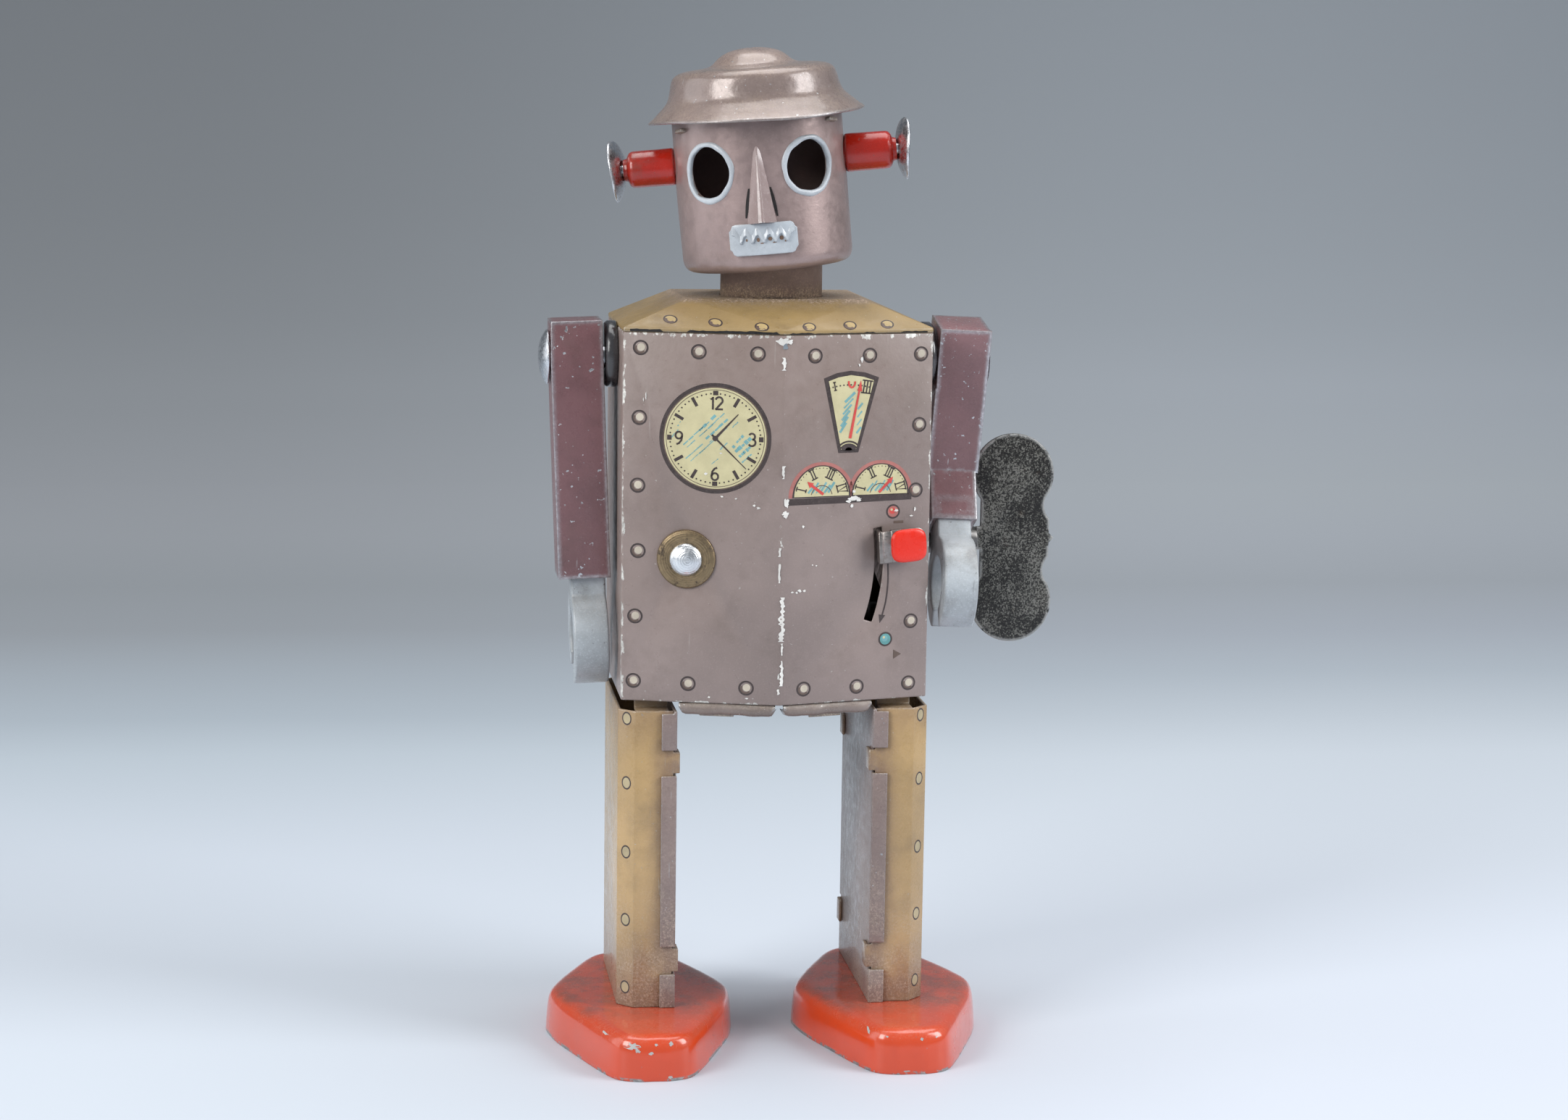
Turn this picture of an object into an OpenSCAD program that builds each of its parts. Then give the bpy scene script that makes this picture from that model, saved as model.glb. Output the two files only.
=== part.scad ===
// Wind-up walking tin robot, standing, with a spring motor in the chest.
// Millimetres. +Z up, the robot faces -Y, +X is the robot's left side.
// Origin on the floor, under the middle of the whole toy, key included.

/* [Torso] */
// half width of the chest
torso_hw = 19.4; // [19.2:0.1:19.8]
// bottom edge of the chest sheet
torso_z0 = 45.1; // [44.9:0.1:45.3]
// top edge of the chest sheet
torso_z1 = 91.3; // [90.5:0.1:92.5]
// how far the chest crease stands in front of the side edges
prow = 5.0; // [4:0.5:5.5]
// tinplate thickness
tin = 0.4; // [0.35:0.05:0.45]

/* [Head] */
// sideways lean of the head on its neck, degrees
head_tilt = 5.5; // [0:0.5:6]
// turn of the head on its neck, degrees
head_yaw = 9; // [0:1:12]
// radius of the head can
head_r = 10.8; // [10.5:0.1:11]
// radius of the hat brim
brim_r = 13.65; // [13:0.05:14]

/* [Arms] */
// inward lean of the arms, degrees
arm_lean = 2.2; // [1.5:0.1:2.4]
// width of the arm castings
arm_w = 6.6; // [6:0.1:6.8]
// depth of the arm castings
arm_d = 7.0; // [6.5:0.1:7.2]

/* [Legs] */
// leg sheet top
leg_z1 = 43.9; // [43.5:0.1:43.9]
// foot height
foot_h = 5.6; // [5.2:0.1:5.8]
// throw of the leg cranks
crank_r = 0.48; // [0.4:0.02:0.5]

/* [Key] */
// lobe radius of the key grip
key_lobe = 5.35; // [5:0.05:5.4]
// half the distance between the lobes
key_half = 8.35; // [8:0.05:8.4]

/* [Hidden] */
yf = -6; yb = 17; yp = yf - prow;
kv = prow/torso_hw; beta = atan(kv); kc = sqrt(1+kv*kv);
sh = [21.3, 4, 87.3];              // shoulder: inner arm face, y, z
pv = [-11.55, 63.25];              // stop lever pivot x, z
lev_r = 24.3; lev_a = 3.4;         // lever radius and rest angle
leg_xi = 12.44; leg_xo = 19.7; leg_y0 = -7.5; leg_y1 = 16.4; leg_c = 16.07;
hip = [4.45, 50];
mod = 0.4; bl = 0.05;
K = [7.6, 63.4];
C = [1.5, K[1]-sqrt(pow(mod*25+bl,2)-pow(K[0]-1.5,2))];
G = [-1.6, C[1]+sqrt(pow(mod*16+bl,2)-pow(C[0]+1.6,2))];
kx0 = 28.1; kx = 32.9;
hp = [0.2, 4, 95.2];
org = [-4.559, 0.1, 0];            // from midway between the feet to the middle of the toy's box
module place(){ translate(org) children(); }

taupe=[0.47,0.42,0.39]; mustard=[0.62,0.50,0.30]; plum=[0.36,0.22,0.24]; silver=[0.72,0.73,0.74];
orange=[0.78,0.20,0.08]; steel=[0.55,0.55,0.56]; brassc=[0.66,0.52,0.26]; dark=[0.13,0.13,0.14];

// ---------- helpers ----------
module xcyl(r,x0,x1,y,z,fn=48){ translate([x0,y,z]) rotate([0,90,0]) cylinder(r=r,h=x1-x0,$fn=fn); }
module ycyl(r,y0,y1,x,z,fn=48){ translate([x,y0,z]) rotate([-90,0,0]) cylinder(r=r,h=y1-y0,$fn=fn); }
module chest2d(o){ polygon([[-(torso_hw-o),yp+o*kc+(torso_hw-o)*kv],[0,yp+o*kc],[torso_hw-o,yp+o*kc+(torso_hw-o)*kv],[torso_hw-o,yb-o],[-(torso_hw-o),yb-o]]); }
module ring2d(a,b){ difference(){ circle(r=b,$fn=64); circle(r=a,$fn=64); } }
function tooth(n,rr,rt,i)= let(p=360/n,c=i*p) [for(k=[[-0.31,rr],[-0.11,rt],[0.11,rt],[0.31,rr]]) [k[1]*cos(c+k[0]*p),k[1]*sin(c+k[0]*p)]];
module gear2d(n){ polygon([for(i=[0:n-1]) for(q=tooth(n,mod*(n/2-1.15),mod*(n/2+0.85),i)) q]); }
// gear lying in a YZ plane, first tooth toward angle a measured from +Y to +Z
module gearx(n,x0,x1,c,a){ translate([x0,c[0],c[1]]) rotate([90,0,90]) linear_extrude(x1-x0) rotate(a) gear2d(n); }
function dir(a,b)=atan2(b[1]-a[1],b[0]-a[0]);

// ---------- torso ----------
module lever_cut(){ translate([pv[0],0,pv[1]]) rotate([90,0,0]) linear_extrude(30)
  intersection(){ ring2d(lev_r-0.53,lev_r+0.6); polygon([[0,0],[40*cos(8.9),40*sin(8.9)],[40,0],[40*cos(-19.2),40*sin(-19.2)]]); } }
module torso_front(){ place() color(taupe) difference(){
  union(){
    translate([0,0,torso_z0]) linear_extrude(torso_z1-torso_z0) difference(){ chest2d(0); chest2d(tin); translate([-30,yb-tin]) square([60,5]); }
    for(s=[-1,1]) translate([s*10.5-1.6,yp+10.5*kv+tin*kc+0.02,torso_z1-1.2]) rotate(0) cube([3.2,tin,0.9]);
  }
  translate([0,-3,0]) lever_cut();
  ycyl(1.62,-14,-4,pv[0],pv[1]);
  xcyl(1.9,15,25,K[0],K[1]);
  for(s=[-1,1]) xcyl(1.5,s*20-3,s*20+3,sh[1],sh[2]);
} }
module torso_back(){ place() color(taupe) difference(){
  union(){
    translate([-torso_hw,yb-tin,torso_z0]) cube([2*torso_hw,tin,torso_z1-torso_z0]);
    for(s=[-1,1]) translate([s>0?torso_hw-2*tin:-torso_hw+tin,yb-4,torso_z0+0.6]) cube([tin,4-tin,torso_z1-torso_z0-1.4]);
  }
  for(z=[60,66]) translate([0,0,z]) ycyl(1.0,10,20,0,0,24);
} }
module yoke_solid(o){ hull(){
  translate([0,0,torso_z1-o]) linear_extrude(0.6) chest2d(o);
  translate([0,0,95.2-o-0.05]) linear_extrude(0.05) polygon([[-11.2+o,-2.6+o],[11.2-o,-2.6+o],[11.6-o,14.6-o],[-11.6+o,14.6-o]]); } }
module yoke(){ place() color(mustard) difference(){
  union(){ difference(){ yoke_solid(0); yoke_solid(tin); translate([-30,-30,torso_z1-5]) cube([60,60,5]); }
    // tuck-in tabs
    for(s=[-1,1]) { translate([s*12.5-1.6,yb-tin-0.42,torso_z1-1.6]) cube([3.2,0.4,2.2]); }
  }
  translate([hp[0],hp[1],80]) cylinder(r=6.5,h=30,$fn=64); } }
module vlip(x0,x1,z0,z1){ // strip just behind the chest crease panel
  for(s=[x0<0?-1:1]) let(a=min(abs(x0),abs(x1)),b=max(abs(x0),abs(x1)))
    translate([0,0,z0]) linear_extrude(z1-z0) polygon([[s*a,yp+tin*kc+0.02+a*kv],[s*b,yp+tin*kc+0.02+b*kv],[s*b,yp+2*tin*kc+0.02+b*kv],[s*a,yp+2*tin*kc+0.02+a*kv]]); }
module bottom_plate(){ place() color(taupe) { difference(){
    translate([0,0,46.5]) linear_extrude(tin) chest2d(2*tin+0.04);
    for(s=[-1,1]) translate([s*leg_c-0.4-(s>0?1.6:0.8)+0.0,hip[0]-3.6,46]) cube([3.2,7.2,2]);
    translate([-4,2,46]) cube([8,6,2]);
  }
  vlip(-12.05,-1.0,44.1,46.9); vlip(1.0,11.9,44.1,46.9);
  vlip(-9.7,-5.5,43.4,44.1); vlip(3.9,8.1,43.3,44.1);
  for(s=[-1,1]) translate([s>0?torso_hw-2*tin-0.02:-torso_hw+tin+0.02,-3,45.6]) cube([tin,10,1.3]);
} }
module neck(){ place() color(taupe) difference(){ union(){ translate([hp[0],hp[1],94.2]) cylinder(r=6.46,h=5.9,$fn=48);
    headframe() translate([0,0,hz0+tin+0.01]) cylinder(r=7.8,h=0.35,$fn=48); }
  translate([hp[0],hp[1],90]) cylinder(r=6.06,h=20,$fn=48); } }

// ---------- head, in its own tilted frame ----------
module headframe(){ translate(hp) rotate([0,-head_tilt,0]) rotate([0,0,-head_yaw]) children(); }
hz0 = 3.7; hz1 = 24.93;
module head_can(r,z0,z1,c){ rotate_extrude($fn=96) polygon([[0,z0],[r-0.15-c,z0],[r-0.15-0.5*c,z0+0.13*c],[r-0.15-0.2*c,z0+0.4*c],[r-0.12,z0+c],[r,z1],[0,z1]]); }
module radial(a,z){ rotate([0,0,a]) translate([0,0,z]) rotate([90,0,0]) children(); } // +Z of children points outward from -Y
module head_shell(){ place() color(taupe) headframe() difference(){
  union(){
    difference(){ head_can(head_r,hz0,hz1,1.6); head_can(head_r-tin,hz0+tin,hz1+1,1.5); }
    for(a=[-36,36]) radial(a,hz0+12.6) translate([0,0,head_r-1.1]) cylinder(r=3.8,h=1.45,$fn=48);
    // nose ridge
    polyhedron(points=[[-0.35,-head_r+0.2,hz0+15.3],[0.35,-head_r+0.2,hz0+15.3],[-1.75,-head_r+0.25,hz0+6.3],[1.75,-head_r+0.25,hz0+6.3],[0,-head_r-0.35,hz0+15.0],[0,-head_r-1.75,hz0+6.3]],
      faces=[[0,1,4],[2,5,3],[0,4,5,2],[4,1,3,5],[1,0,2,3]]);
    // mouth plate
    intersection(){ difference(){ translate([0,0,hz0+2]) cylinder(r=head_r+0.4,h=5,$fn=96); translate([0,0,hz0+1]) cylinder(r=head_r-0.3,h=8,$fn=96); }
      translate([0,0,hz0+4.15]) rotate([90,0,0]) linear_extrude(20) union(){ square([6.8,3.9],center=true); square([8.4,2.3],center=true); for(x=[-3.4,3.4],y=[-1.15,1.15]) translate([x,y]) circle(r=0.8,$fn=24); } }
  }
  for(a=[-36,36]) radial(a,hz0+12.6) translate([0,0,head_r-4]) cylinder(r=3.1,h=8,$fn=48);
  translate([0,0,hz0-1]) cylinder(r=6.98,h=2.5,$fn=48);
  for(s=[-1,1]) xcyl(2.0,s*head_r-2,s*head_r+2,0,hz0+13.4);
  // teeth groove
  for(i=[-2:1]) translate([i*1.7+0.85,-head_r-0.42,hz0+4.6]) rotate([90,45,0]) translate([0,0,-0.2]) difference(){ cube([1.25,1.25,0.5],center=true); translate([0.12,0.12,0]) cube([1.25,1.25,1],center=true);} 
} }
module hat(){ place() color(taupe) headframe() translate([0,0,22.6]) rotate_extrude($fn=96) polygon([[brim_r,0],[12.4,1.2],[11.35,2.2],[10.75,3.3],[10.4,4.9],[10.05,5.5],[9.3,5.95],[7.5,6.2],[5.6,6.35],[4.9,6.65],[4.3,7.35],[3.3,8.0],[2.0,8.4],[0,8.6],
  [0,8.2],[1.9,8.0],[3.1,7.65],[4.0,7.05],[4.7,6.3],[5.5,5.95],[7.4,5.8],[9.1,5.55],[9.7,5.25],[10.0,4.8],[10.36,3.2],[11.0,2.0],[12.1,0.9],[13.3,-0.15]]); }
module ear_tube(s){ place() color(orange) headframe() difference(){
  union(){ rotate([0,s*90,0]) translate([s>0?-hz0-13.4:hz0+13.4,0,0]) rotate_extrude($fn=48) polygon([[1.3,10.1],[1.95,10.1],[1.95,10.75],[2.35,10.75],[2.35,15.6],[1.95,16.1],[1.35,16.5],[1.35,17.3],[0.8,17.3],[0.8,16.3],[1.9,15.4],[1.9,11.2],[1.3,10.9]]); }
  translate([s>0?10.8:-17,-0.2,hz0+13.4-3]) cube([6.2,0.4,2]);
} }
module ear_disc(s){ place() color(silver) headframe() rotate([0,s*90,0]) translate([s>0?-hz0-13.4:hz0+13.4,0,0])
  rotate_extrude($fn=48) polygon([[0,16.9],[0.76,16.9],[0.76,17.32],[1.8,17.32],[3.2,17.7],[3.9,18.2],[3.75,18.4],[3.1,18.05],[1.7,17.7],[0,17.7]]); }

// ---------- lever pivot ----------
module onleft(x,z){ translate([x,yp-x*kv,z]) rotate([0,0,-beta]) rotate([90,0,0]) children(); } // +Z outward from left panel
module lever_washer(){ place() color(brassc) onleft(pv[0],pv[1]) difference(){ cylinder(r=3.68,h=0.4,$fn=64); translate([0,0,-1]) cylinder(r=1.75,h=3,$fn=48); } }
module lever_rivet(){ place() color(silver) {
  onleft(pv[0],pv[1]) translate([0,0,0.4]) intersection(){ translate([0,0,-1.42]) sphere(r=2.5,$fn=64); translate([0,0,1.5]) cube([8,8,3],center=true); }
  ycyl(1.42,-8.75,-4.4,pv[0],pv[1]); ycyl(2.3,-4.7,-4.2,pv[0],pv[1]); } }

// ---------- motor ----------
module frame(s){ place() color(steel) { difference(){
  translate([s>0?10.4:-11.2,0,0]) rotate([90,0,90]) linear_extrude(0.8) polygon([[-4.1,46.92],[13.6,46.92],[16.2,49.5],[16.2,72.2],[14.2,74.2],[-2.6,74.2],[-4.1,72.7]]);
  xcyl(1.25,s*11-2,s*11+2,K[0],K[1]); xcyl(0.85,s*11-2,s*11+2,C[0],C[1]); xcyl(0.55,s*11-2,s*11+2,G[0],G[1]);
  xcyl(0.9,s*11-2,s*11+2,hip[0],hip[1]);
  for(p=[[14.2,72.2],[14.2,50],[-2.6,49],[-2.2,72.2]]) xcyl(0.6,s*11-2,s*11+2,p[0],p[1]);
  xcyl(2.2,s*11-2,s*11+2,11,54); xcyl(1.6,s*11-2,s*11+2,3.4,67.5); } } }
module pillars(){ place() color(steel) for(p=[[14.2,72.2],[14.2,50],[-2.6,49],[-2.2,72.2]]) { xcyl(0.95,-10.4,10.4,p[0],p[1],32); xcyl(0.6,-11.6,11.6,p[0],p[1],32); } }
module hip_pins(){ place() color(steel) for(s=[-1,1]) { xcyl(1.0,s>0?11.2:-16.3,s>0?16.3:-11.2,hip[0],hip[1]); xcyl(0.9,s>0?10.2:-11.2,s>0?11.2:-10.2,hip[0],hip[1]); xcyl(1.6,s>0?16.3:-16.9,s>0?16.9:-16.3,hip[0],hip[1]); } }
// open coil: r grows from the arbor to the anchor pillar
sp_a0 = 0; sp_turns = 6;
function spr(t)= 2.2 + (7.9-2.2)*t;
module mainspring(){ place() color(dark) { n=150; a1=dir(K,[14.2,72.2]); 
  translate([-9.0,K[0],K[1]]) rotate([90,0,90]) linear_extrude(6.6) {
    polygon(concat([for(i=[0:n]) let(t=i/n,a=a1-360*sp_turns*(1-t)) [spr(t)*cos(a),spr(t)*sin(a)]],[for(i=[n:-1:0]) let(t=i/n,a=a1-360*sp_turns*(1-t)) [(spr(t)+0.22)*cos(a),(spr(t)+0.22)*sin(a)]]));
    rotate(a1) translate([7.95,-0.15]) square([2.0,0.3]);
    rotate(a1-360*sp_turns) translate([1.25,-0.15]) square([1.05,0.3]);
  } } }
module key_arbor(){ place() color(steel) difference(){ union(){
    xcyl(1.2,-11.4,10.4,K[0],K[1]); xcyl(1.2,10.4,11.6,K[0],K[1]); xcyl(1.5,11.6,kx0+1.2,K[0],K[1]); xcyl(1.95,21.2,22.2,K[0],K[1]); }
  translate([kx0-0.02,K[0]-0.46,K[1]-4]) cube([10,0.92,8]); } }
module key2d(){ difference(){ union(){
    for(s=[-1,1]) translate([kx,s*key_half]) circle(r=key_lobe,$fn=64);
    translate([kx0+0.6,-key_half]) square([9.1,2*key_half]);
    translate([kx0,-1.5]) square([2,3]);
    translate([37.2,0]) rotate(45) square([1.75,1.75],center=true); }
  // waists
  for(s=[-1,1]) translate([39.6,s*4.3]) circle(r=2.55,$fn=48); } }
module key_grip(){ place() color(dark) translate([0,K[0]+0.45,K[1]]) rotate([90,0,0]) linear_extrude(0.9) key2d(); }
module great_wheel(){ place() color(brassc) difference(){ gearx(40,8.2,9.0,K,dir(K,C)); xcyl(1.22,7,10,K[0],K[1]); for(a=[45:90:360]) translate([0,K[0],K[1]]) rotate([a,0,0]) xcyl(1.7,7,10,4.9,0,32); } }
module ratchet_wheel(){ place() color(steel) difference(){ translate([7.0,K[0],K[1]]) rotate([90,0,90]) linear_extrude(0.8) polygon([for(i=[0:11]) for(q=[[0,3.6],[0.94,2.8]]) [q[1]*cos(30*(i+q[0])),q[1]*sin(30*(i+q[0]))]]); xcyl(1.22,6,9,K[0],K[1]); } }
module click(){ place() color(steel) { translate([0,K[0],K[1]]) rotate([20,0,0]) { xcyl(0.9,7.0,8.18,5.6,0,32); difference(){ translate([7.0,4.0,-0.5]) rotate([90,0,90]) linear_extrude(0.8) polygon([[-0.35,0.1],[0.2,-0.75],[1.6,-0.4],[2.3,0.5],[1.6,1.2],[0.4,0.9]]); xcyl(3.62,6,9,0,0); } } } }
module crank_arbor(){ place() color(steel) { xcyl(0.8,-12.0,12.0,C[0],C[1],32); gearx(10,7.8,9.4,C,dir(C,K)+18); xcyl(1.1,3.72,7.8,C[0],C[1],32);} }
module crank_wheel(){ place() color(brassc) difference(){ gearx(24,3.0,3.7,C,dir(C,G)); xcyl(0.82,2,5,C[0],C[1]); } }
module crank_disc(s){ place() color(steel) difference(){ union(){ xcyl(2.3,s>0?12.05:-12.95,s>0?12.95:-12.05,C[0],C[1]); xcyl(0.55,s>0?12.9:-16.8,s>0?16.8:-12.9,C[0],C[1]+s*crank_r,32); xcyl(0.82,s>0?11.9:-12.06,s>0?12.06:-11.9,C[0],C[1],32);} xcyl(0.8,-12.02,12.02,C[0],C[1]);} }
module governor_arbor(){ place() color(steel) { xcyl(0.5,-11.5,11.5,G[0],G[1],32); gearx(8,2.6,4.1,G,dir(G,C)+22.5); } }
module governor_rotor(){ place() color(brassc) difference(){ union(){ xcyl(1.3,6.0,7.4,G[0],G[1],32); difference(){ xcyl(2.6,6.2,7.2,G[0],G[1],48); for(s=[-1,1]) translate([5,G[0]-3,G[1]+s*2.2-0.9]) cube([4,6,1.8]); } } xcyl(0.51,5,9,G[0],G[1],32); } }

// ---------- stop lever ----------
module stop_lever(){ place() color(steel) translate([pv[0],0,pv[1]]) rotate([0,-lev_a,0]) {
  difference(){ union(){ ycyl(2.9,-5.4,-4.9,0,0); translate([0,-5.4,-1.4]) cube([20,0.5,2.8]); translate([19,-5.4,-2.0]) cube([lev_r-19+0.22,0.5,4.0]);
      translate([17.2,-5.4,-6.3]) cube([1.5,0.5,5]); translate([17.9,-5.4,-7.2]) cube([0.8,3.4,1.0]); } ycyl(1.5,-6,-4,0,0); }
  translate([lev_r-0.22,-9.6,-2.0]) cube([0.45,4.7,4.0]);
  translate([lev_r-0.22,-9.6,-2.0]) rotate([0,0,beta]) { cube([2.0,0.45,4.0]);
    translate([1.7,-0.12,0]) rotate([90,0,0]) translate([0,0,-0.7]) linear_extrude(0.7) union(){ square([3.6,4.1]); translate([0,0.9]) square([4.6,2.3]); for(y=[0.9,3.2]) translate([3.6,y]) circle(r=0.9,$fn=24);} }
} }

// ---------- shoulders and arms ----------
module shoulder_rivets(){ place() color(silver) for(s=[-1,1]) { 
  translate([s*(sh[0]+arm_w+0.12),sh[1],sh[2]]) rotate([0,s*90,0]) intersection(){ translate([0,0,s>0?-13.55:-3.9]) sphere(r=s>0?14:5.2,$fn=64); cylinder(r=3.4,h=3,$fn=64); }
  xcyl(1.42,s>0?18.2:-(sh[0]+arm_w+0.3),s>0?sh[0]+arm_w+0.3:-18.2,sh[1],sh[2]); xcyl(2.6,s>0?18.4:-19.0,s>0?19.0:-18.4,sh[1],sh[2]); } }
module shoulder_spacers(){ place() color(dark) for(s=[-1,1]) translate([s*19.4,sh[1],sh[2]+0.4]) rotate([0,s*90,0]) difference(){ rotate_extrude($fn=64) polygon([[0,0],[4.0,0],[4.2,0.25],[4.2,1.25],[3.9,1.6],[0,1.6]]); translate([s*0.4,0,-1]) cylinder(r=1.5,h=4,$fn=48); } }
// arm frames: origin at the shoulder on the inner face, z down the arm, leaning inward
module armframe(s){ translate([s*sh[0],sh[1],sh[2]]) rotate([0,s*arm_lean,0]) children(); }
module arm_right(){ place() color(plum) difference(){
  armframe(-1) difference(){ translate([-arm_w,-arm_d/2,-27.7]) cube([arm_w,arm_d,32.6]);
    translate([-5.01,-2.51,-27.71]) cube([4.42,5.02,2.93]); }
  xcyl(4.8,-sh[0]+0.02,-15,sh[1],sh[2]+0.2);
  translate([-sh[0]-arm_w-5,sh[1]-3.7,sh[2]-3.7]) cube([5.0,7.4,9.4]);
  xcyl(1.5,-30,-20,sh[1],sh[2]); } }
module claw2d(){ difference(){ union(){ translate([0,-7.9]) circle(r=6.1,$fn=64); translate([-2.5,-4]) square([5,6.9]); }
    translate([0,-7.9]) circle(r=3.5,$fn=48);
    translate([0,-7.9]) polygon([[0,0],[12*cos(-84),12*sin(-84)],[12*cos(-108),12*sin(-108)],[12*cos(-132),12*sin(-132)]]); } }
module claw3d(){ rotate([90,0,-90]) translate([0,0,-4.4]) linear_extrude(4.4) claw2d(); } // spans 0..4.4 in x
module claw_right(){ place() color(silver) armframe(-1) translate([-5.0,0,-27.7]) claw3d(); }
fore = 28; back = 11; up_l = 14.2; fo_l = 11.0;
module arm_left_solid(){ // in the arm frame, upper part leaning back, forearm bent forward
  rotate([back,0,0]) { translate([0,-arm_d/2,-up_l]) cube([arm_w,arm_d,up_l+4.7]);
    translate([0,arm_d/2,-up_l]) rotate([-back-fore,0,0]) translate([0.35,-5.6,-fo_l+0.2]) cube([arm_w-0.7,5.6,fo_l]); } }
module arm_left(){ place() color(plum) difference(){
  armframe(1) difference(){ arm_left_solid(); rotate([back,0,0]) translate([0,arm_d/2,-up_l]) rotate([-back-fore,0,0]) translate([arm_w/2-2.21,-5.31,-fo_l+0.19]) cube([4.42,5.02,2.93]); }
  xcyl(4.8,15,sh[0]-0.02,sh[1],sh[2]+0.2);
  translate([sh[0]+arm_w,sh[1]-3.7,sh[2]-3.7]) cube([5.0,7.4,9.4]);
  xcyl(1.5,20,30,sh[1],sh[2]); } }
module claw_left(){ place() color(silver) armframe(1) rotate([back,0,0]) translate([arm_w/2-2.2,arm_d/2,-up_l]) rotate([-back-fore,0,0]) translate([0,-2.8,-fo_l+0.2]) claw3d(); }

// ---------- legs: drawn for the +X leg and mirrored ----------
module sidem(s){ if(s>0) children(); else mirror([1,0,0]) children(); }
module ch2d(o){ polygon([[leg_xi-1,leg_y0+o],[17.75-0.4*o,leg_y0+o],[leg_xo-o,leg_y0+1.95+0.4*o],[leg_xo-o,leg_y1-1.95-0.4*o],[17.75-0.4*o,leg_y1-o],[leg_xi-1,leg_y1-o]]); }
module leg_channel(s){ place() color(mustard) sidem(s) {
  translate([0,0,foot_h]) linear_extrude(leg_z1-foot_h) difference(){ ch2d(0); ch2d(tin); translate([0,-20]) square([leg_xi+tin,60]); }
  translate([13.4,leg_y0+0.2,leg_z1-0.4]) cube([4.2,3.0,0.4]); translate([13.4,-4.7,leg_z1-0.4]) cube([4.2,0.4,1.9]);
  for(z=[[10.2,13.2],[35.9,38.6]]) { translate([leg_xi-0.42,leg_y0,z[0]]) cube([0.85,tin,z[1]-z[0]]); translate([leg_xi-0.42,leg_y0,z[0]]) cube([0.4,2.4,z[1]-z[0]]);
    translate([leg_xi-0.42,leg_y1-tin,z[0]]) cube([0.85,tin,z[1]-z[0]]); translate([leg_xi-0.42,leg_y1-2.0,z[0]]) cube([0.4,2.0,z[1]-z[0]]); } } }
module leg_plate(s){ place() color(taupe) sidem(s) { difference(){
  union(){ translate([leg_xi,leg_y0-0.42,foot_h]) cube([tin,leg_y1-leg_y0+0.84,leg_z1-foot_h]);
    for(z=[[foot_h,9.9],[13.5,35.6],[38.9,43.6]]) for(y=[leg_y0-0.42,leg_y1+0.02]) translate([leg_xi,y,z[0]]) cube([1.95,tin,z[1]-z[0]]); }
  for(z=[[9.9,13.5],[35.6,38.9]]) for(y=[leg_y0-1,leg_y1-0.45]) translate([leg_xi-1,y,z[0]]) cube([3,1.45,z[1]-z[0]]);
  } } }
module foot_solid(o,z0,z1){ // rounded six-cornered box with draft and a soft top edge
  hull(){ for(q=[[0,0.0,z0],[-0.35,0.0,z1-1.3],[-0.75,0,z1-0.45],[-1.5,0,z1-0.01]]) let(d=q[0]-o)
    for(m=[-1,1]) for(p=[[1.5,-10.25,3.95],[4.75,-1.5,4.35],[7.2,7.6,4.6],[5.1,14.8,4.5],[2.4,21.65,4.35]]) translate([leg_c+m*p[0],p[1]-6+0.0,q[2]]) cylinder(r=max(0.3,p[2]+0.25+d),h=0.01,$fn=32); } }
module foot(s){ place() color(orange) sidem(s) difference(){ foot_solid(0,0,foot_h); foot_solid(tin,-0.1,foot_h-tin); } }
module sole(s){ place() color(steel) sidem(s) translate([0,0,0.0]) intersection(){ foot_solid(tin+0.03,-0.1,foot_h-tin); translate([-5,-30,0]) cube([50,60,0.5]); } }
module leg_link(s){ place() color(steel) sidem(s) {
  difference(){ union(){
      translate([15,0,0]) rotate([90,0,90]) linear_extrude(1.0) union(){ translate([hip[0]-2,30]) square([4,20]); translate(hip) circle(r=2.4,$fn=48);
        translate(hip) rotate(dir(hip,C)-90) translate([-2,0]) square([4,6]); translate(C) rotate(dir(hip,C)-90) translate([-3.3,-3.4]) square([6.6,6.8]); }
      for(z=[33,40]) xcyl(0.9,leg_xi+tin,15.1,hip[0],z,32); }
    xcyl(1.06,14,17,hip[0],hip[1]);
    translate([14,C[0],C[1]]) rotate([dir(hip,C)-90,0,0]) translate([0,-1.9,-1.9]) cube([3,3.8,3.8]); } } }

torso_front();
torso_back();
yoke();
bottom_plate();
neck();
head_shell();
hat();
ear_tube(-1);  // ear_tube_right
ear_tube(1);  // ear_tube_left
ear_disc(-1);  // ear_disc_right
ear_disc(1);  // ear_disc_left
lever_washer();
lever_rivet();
frame(-1);  // frame_right
frame(1);  // frame_left
pillars();
mainspring();
hip_pins();
shoulder_rivets();
shoulder_spacers();
arm_right();
claw_right();
arm_left();
claw_left();
leg_channel(-1);  // leg_channel_right
leg_plate(-1);  // leg_plate_right
foot(-1);  // foot_right
sole(-1);  // sole_right
leg_link(-1);  // leg_link_right
leg_channel(1);  // leg_channel_left
leg_plate(1);  // leg_plate_left
foot(1);  // foot_left
sole(1);  // sole_left
leg_link(1);  // leg_link_left
key_grip();
key_arbor();
great_wheel();
ratchet_wheel();
click();
crank_arbor();
crank_wheel();
crank_disc(-1);  // crank_disc_right
crank_disc(1);  // crank_disc_left
governor_arbor();
governor_rotor();
stop_lever();
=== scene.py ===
import math
import random

import bmesh
import bpy
from mathutils import Matrix, Vector
from mathutils.bvhtree import BVHTree


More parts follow.
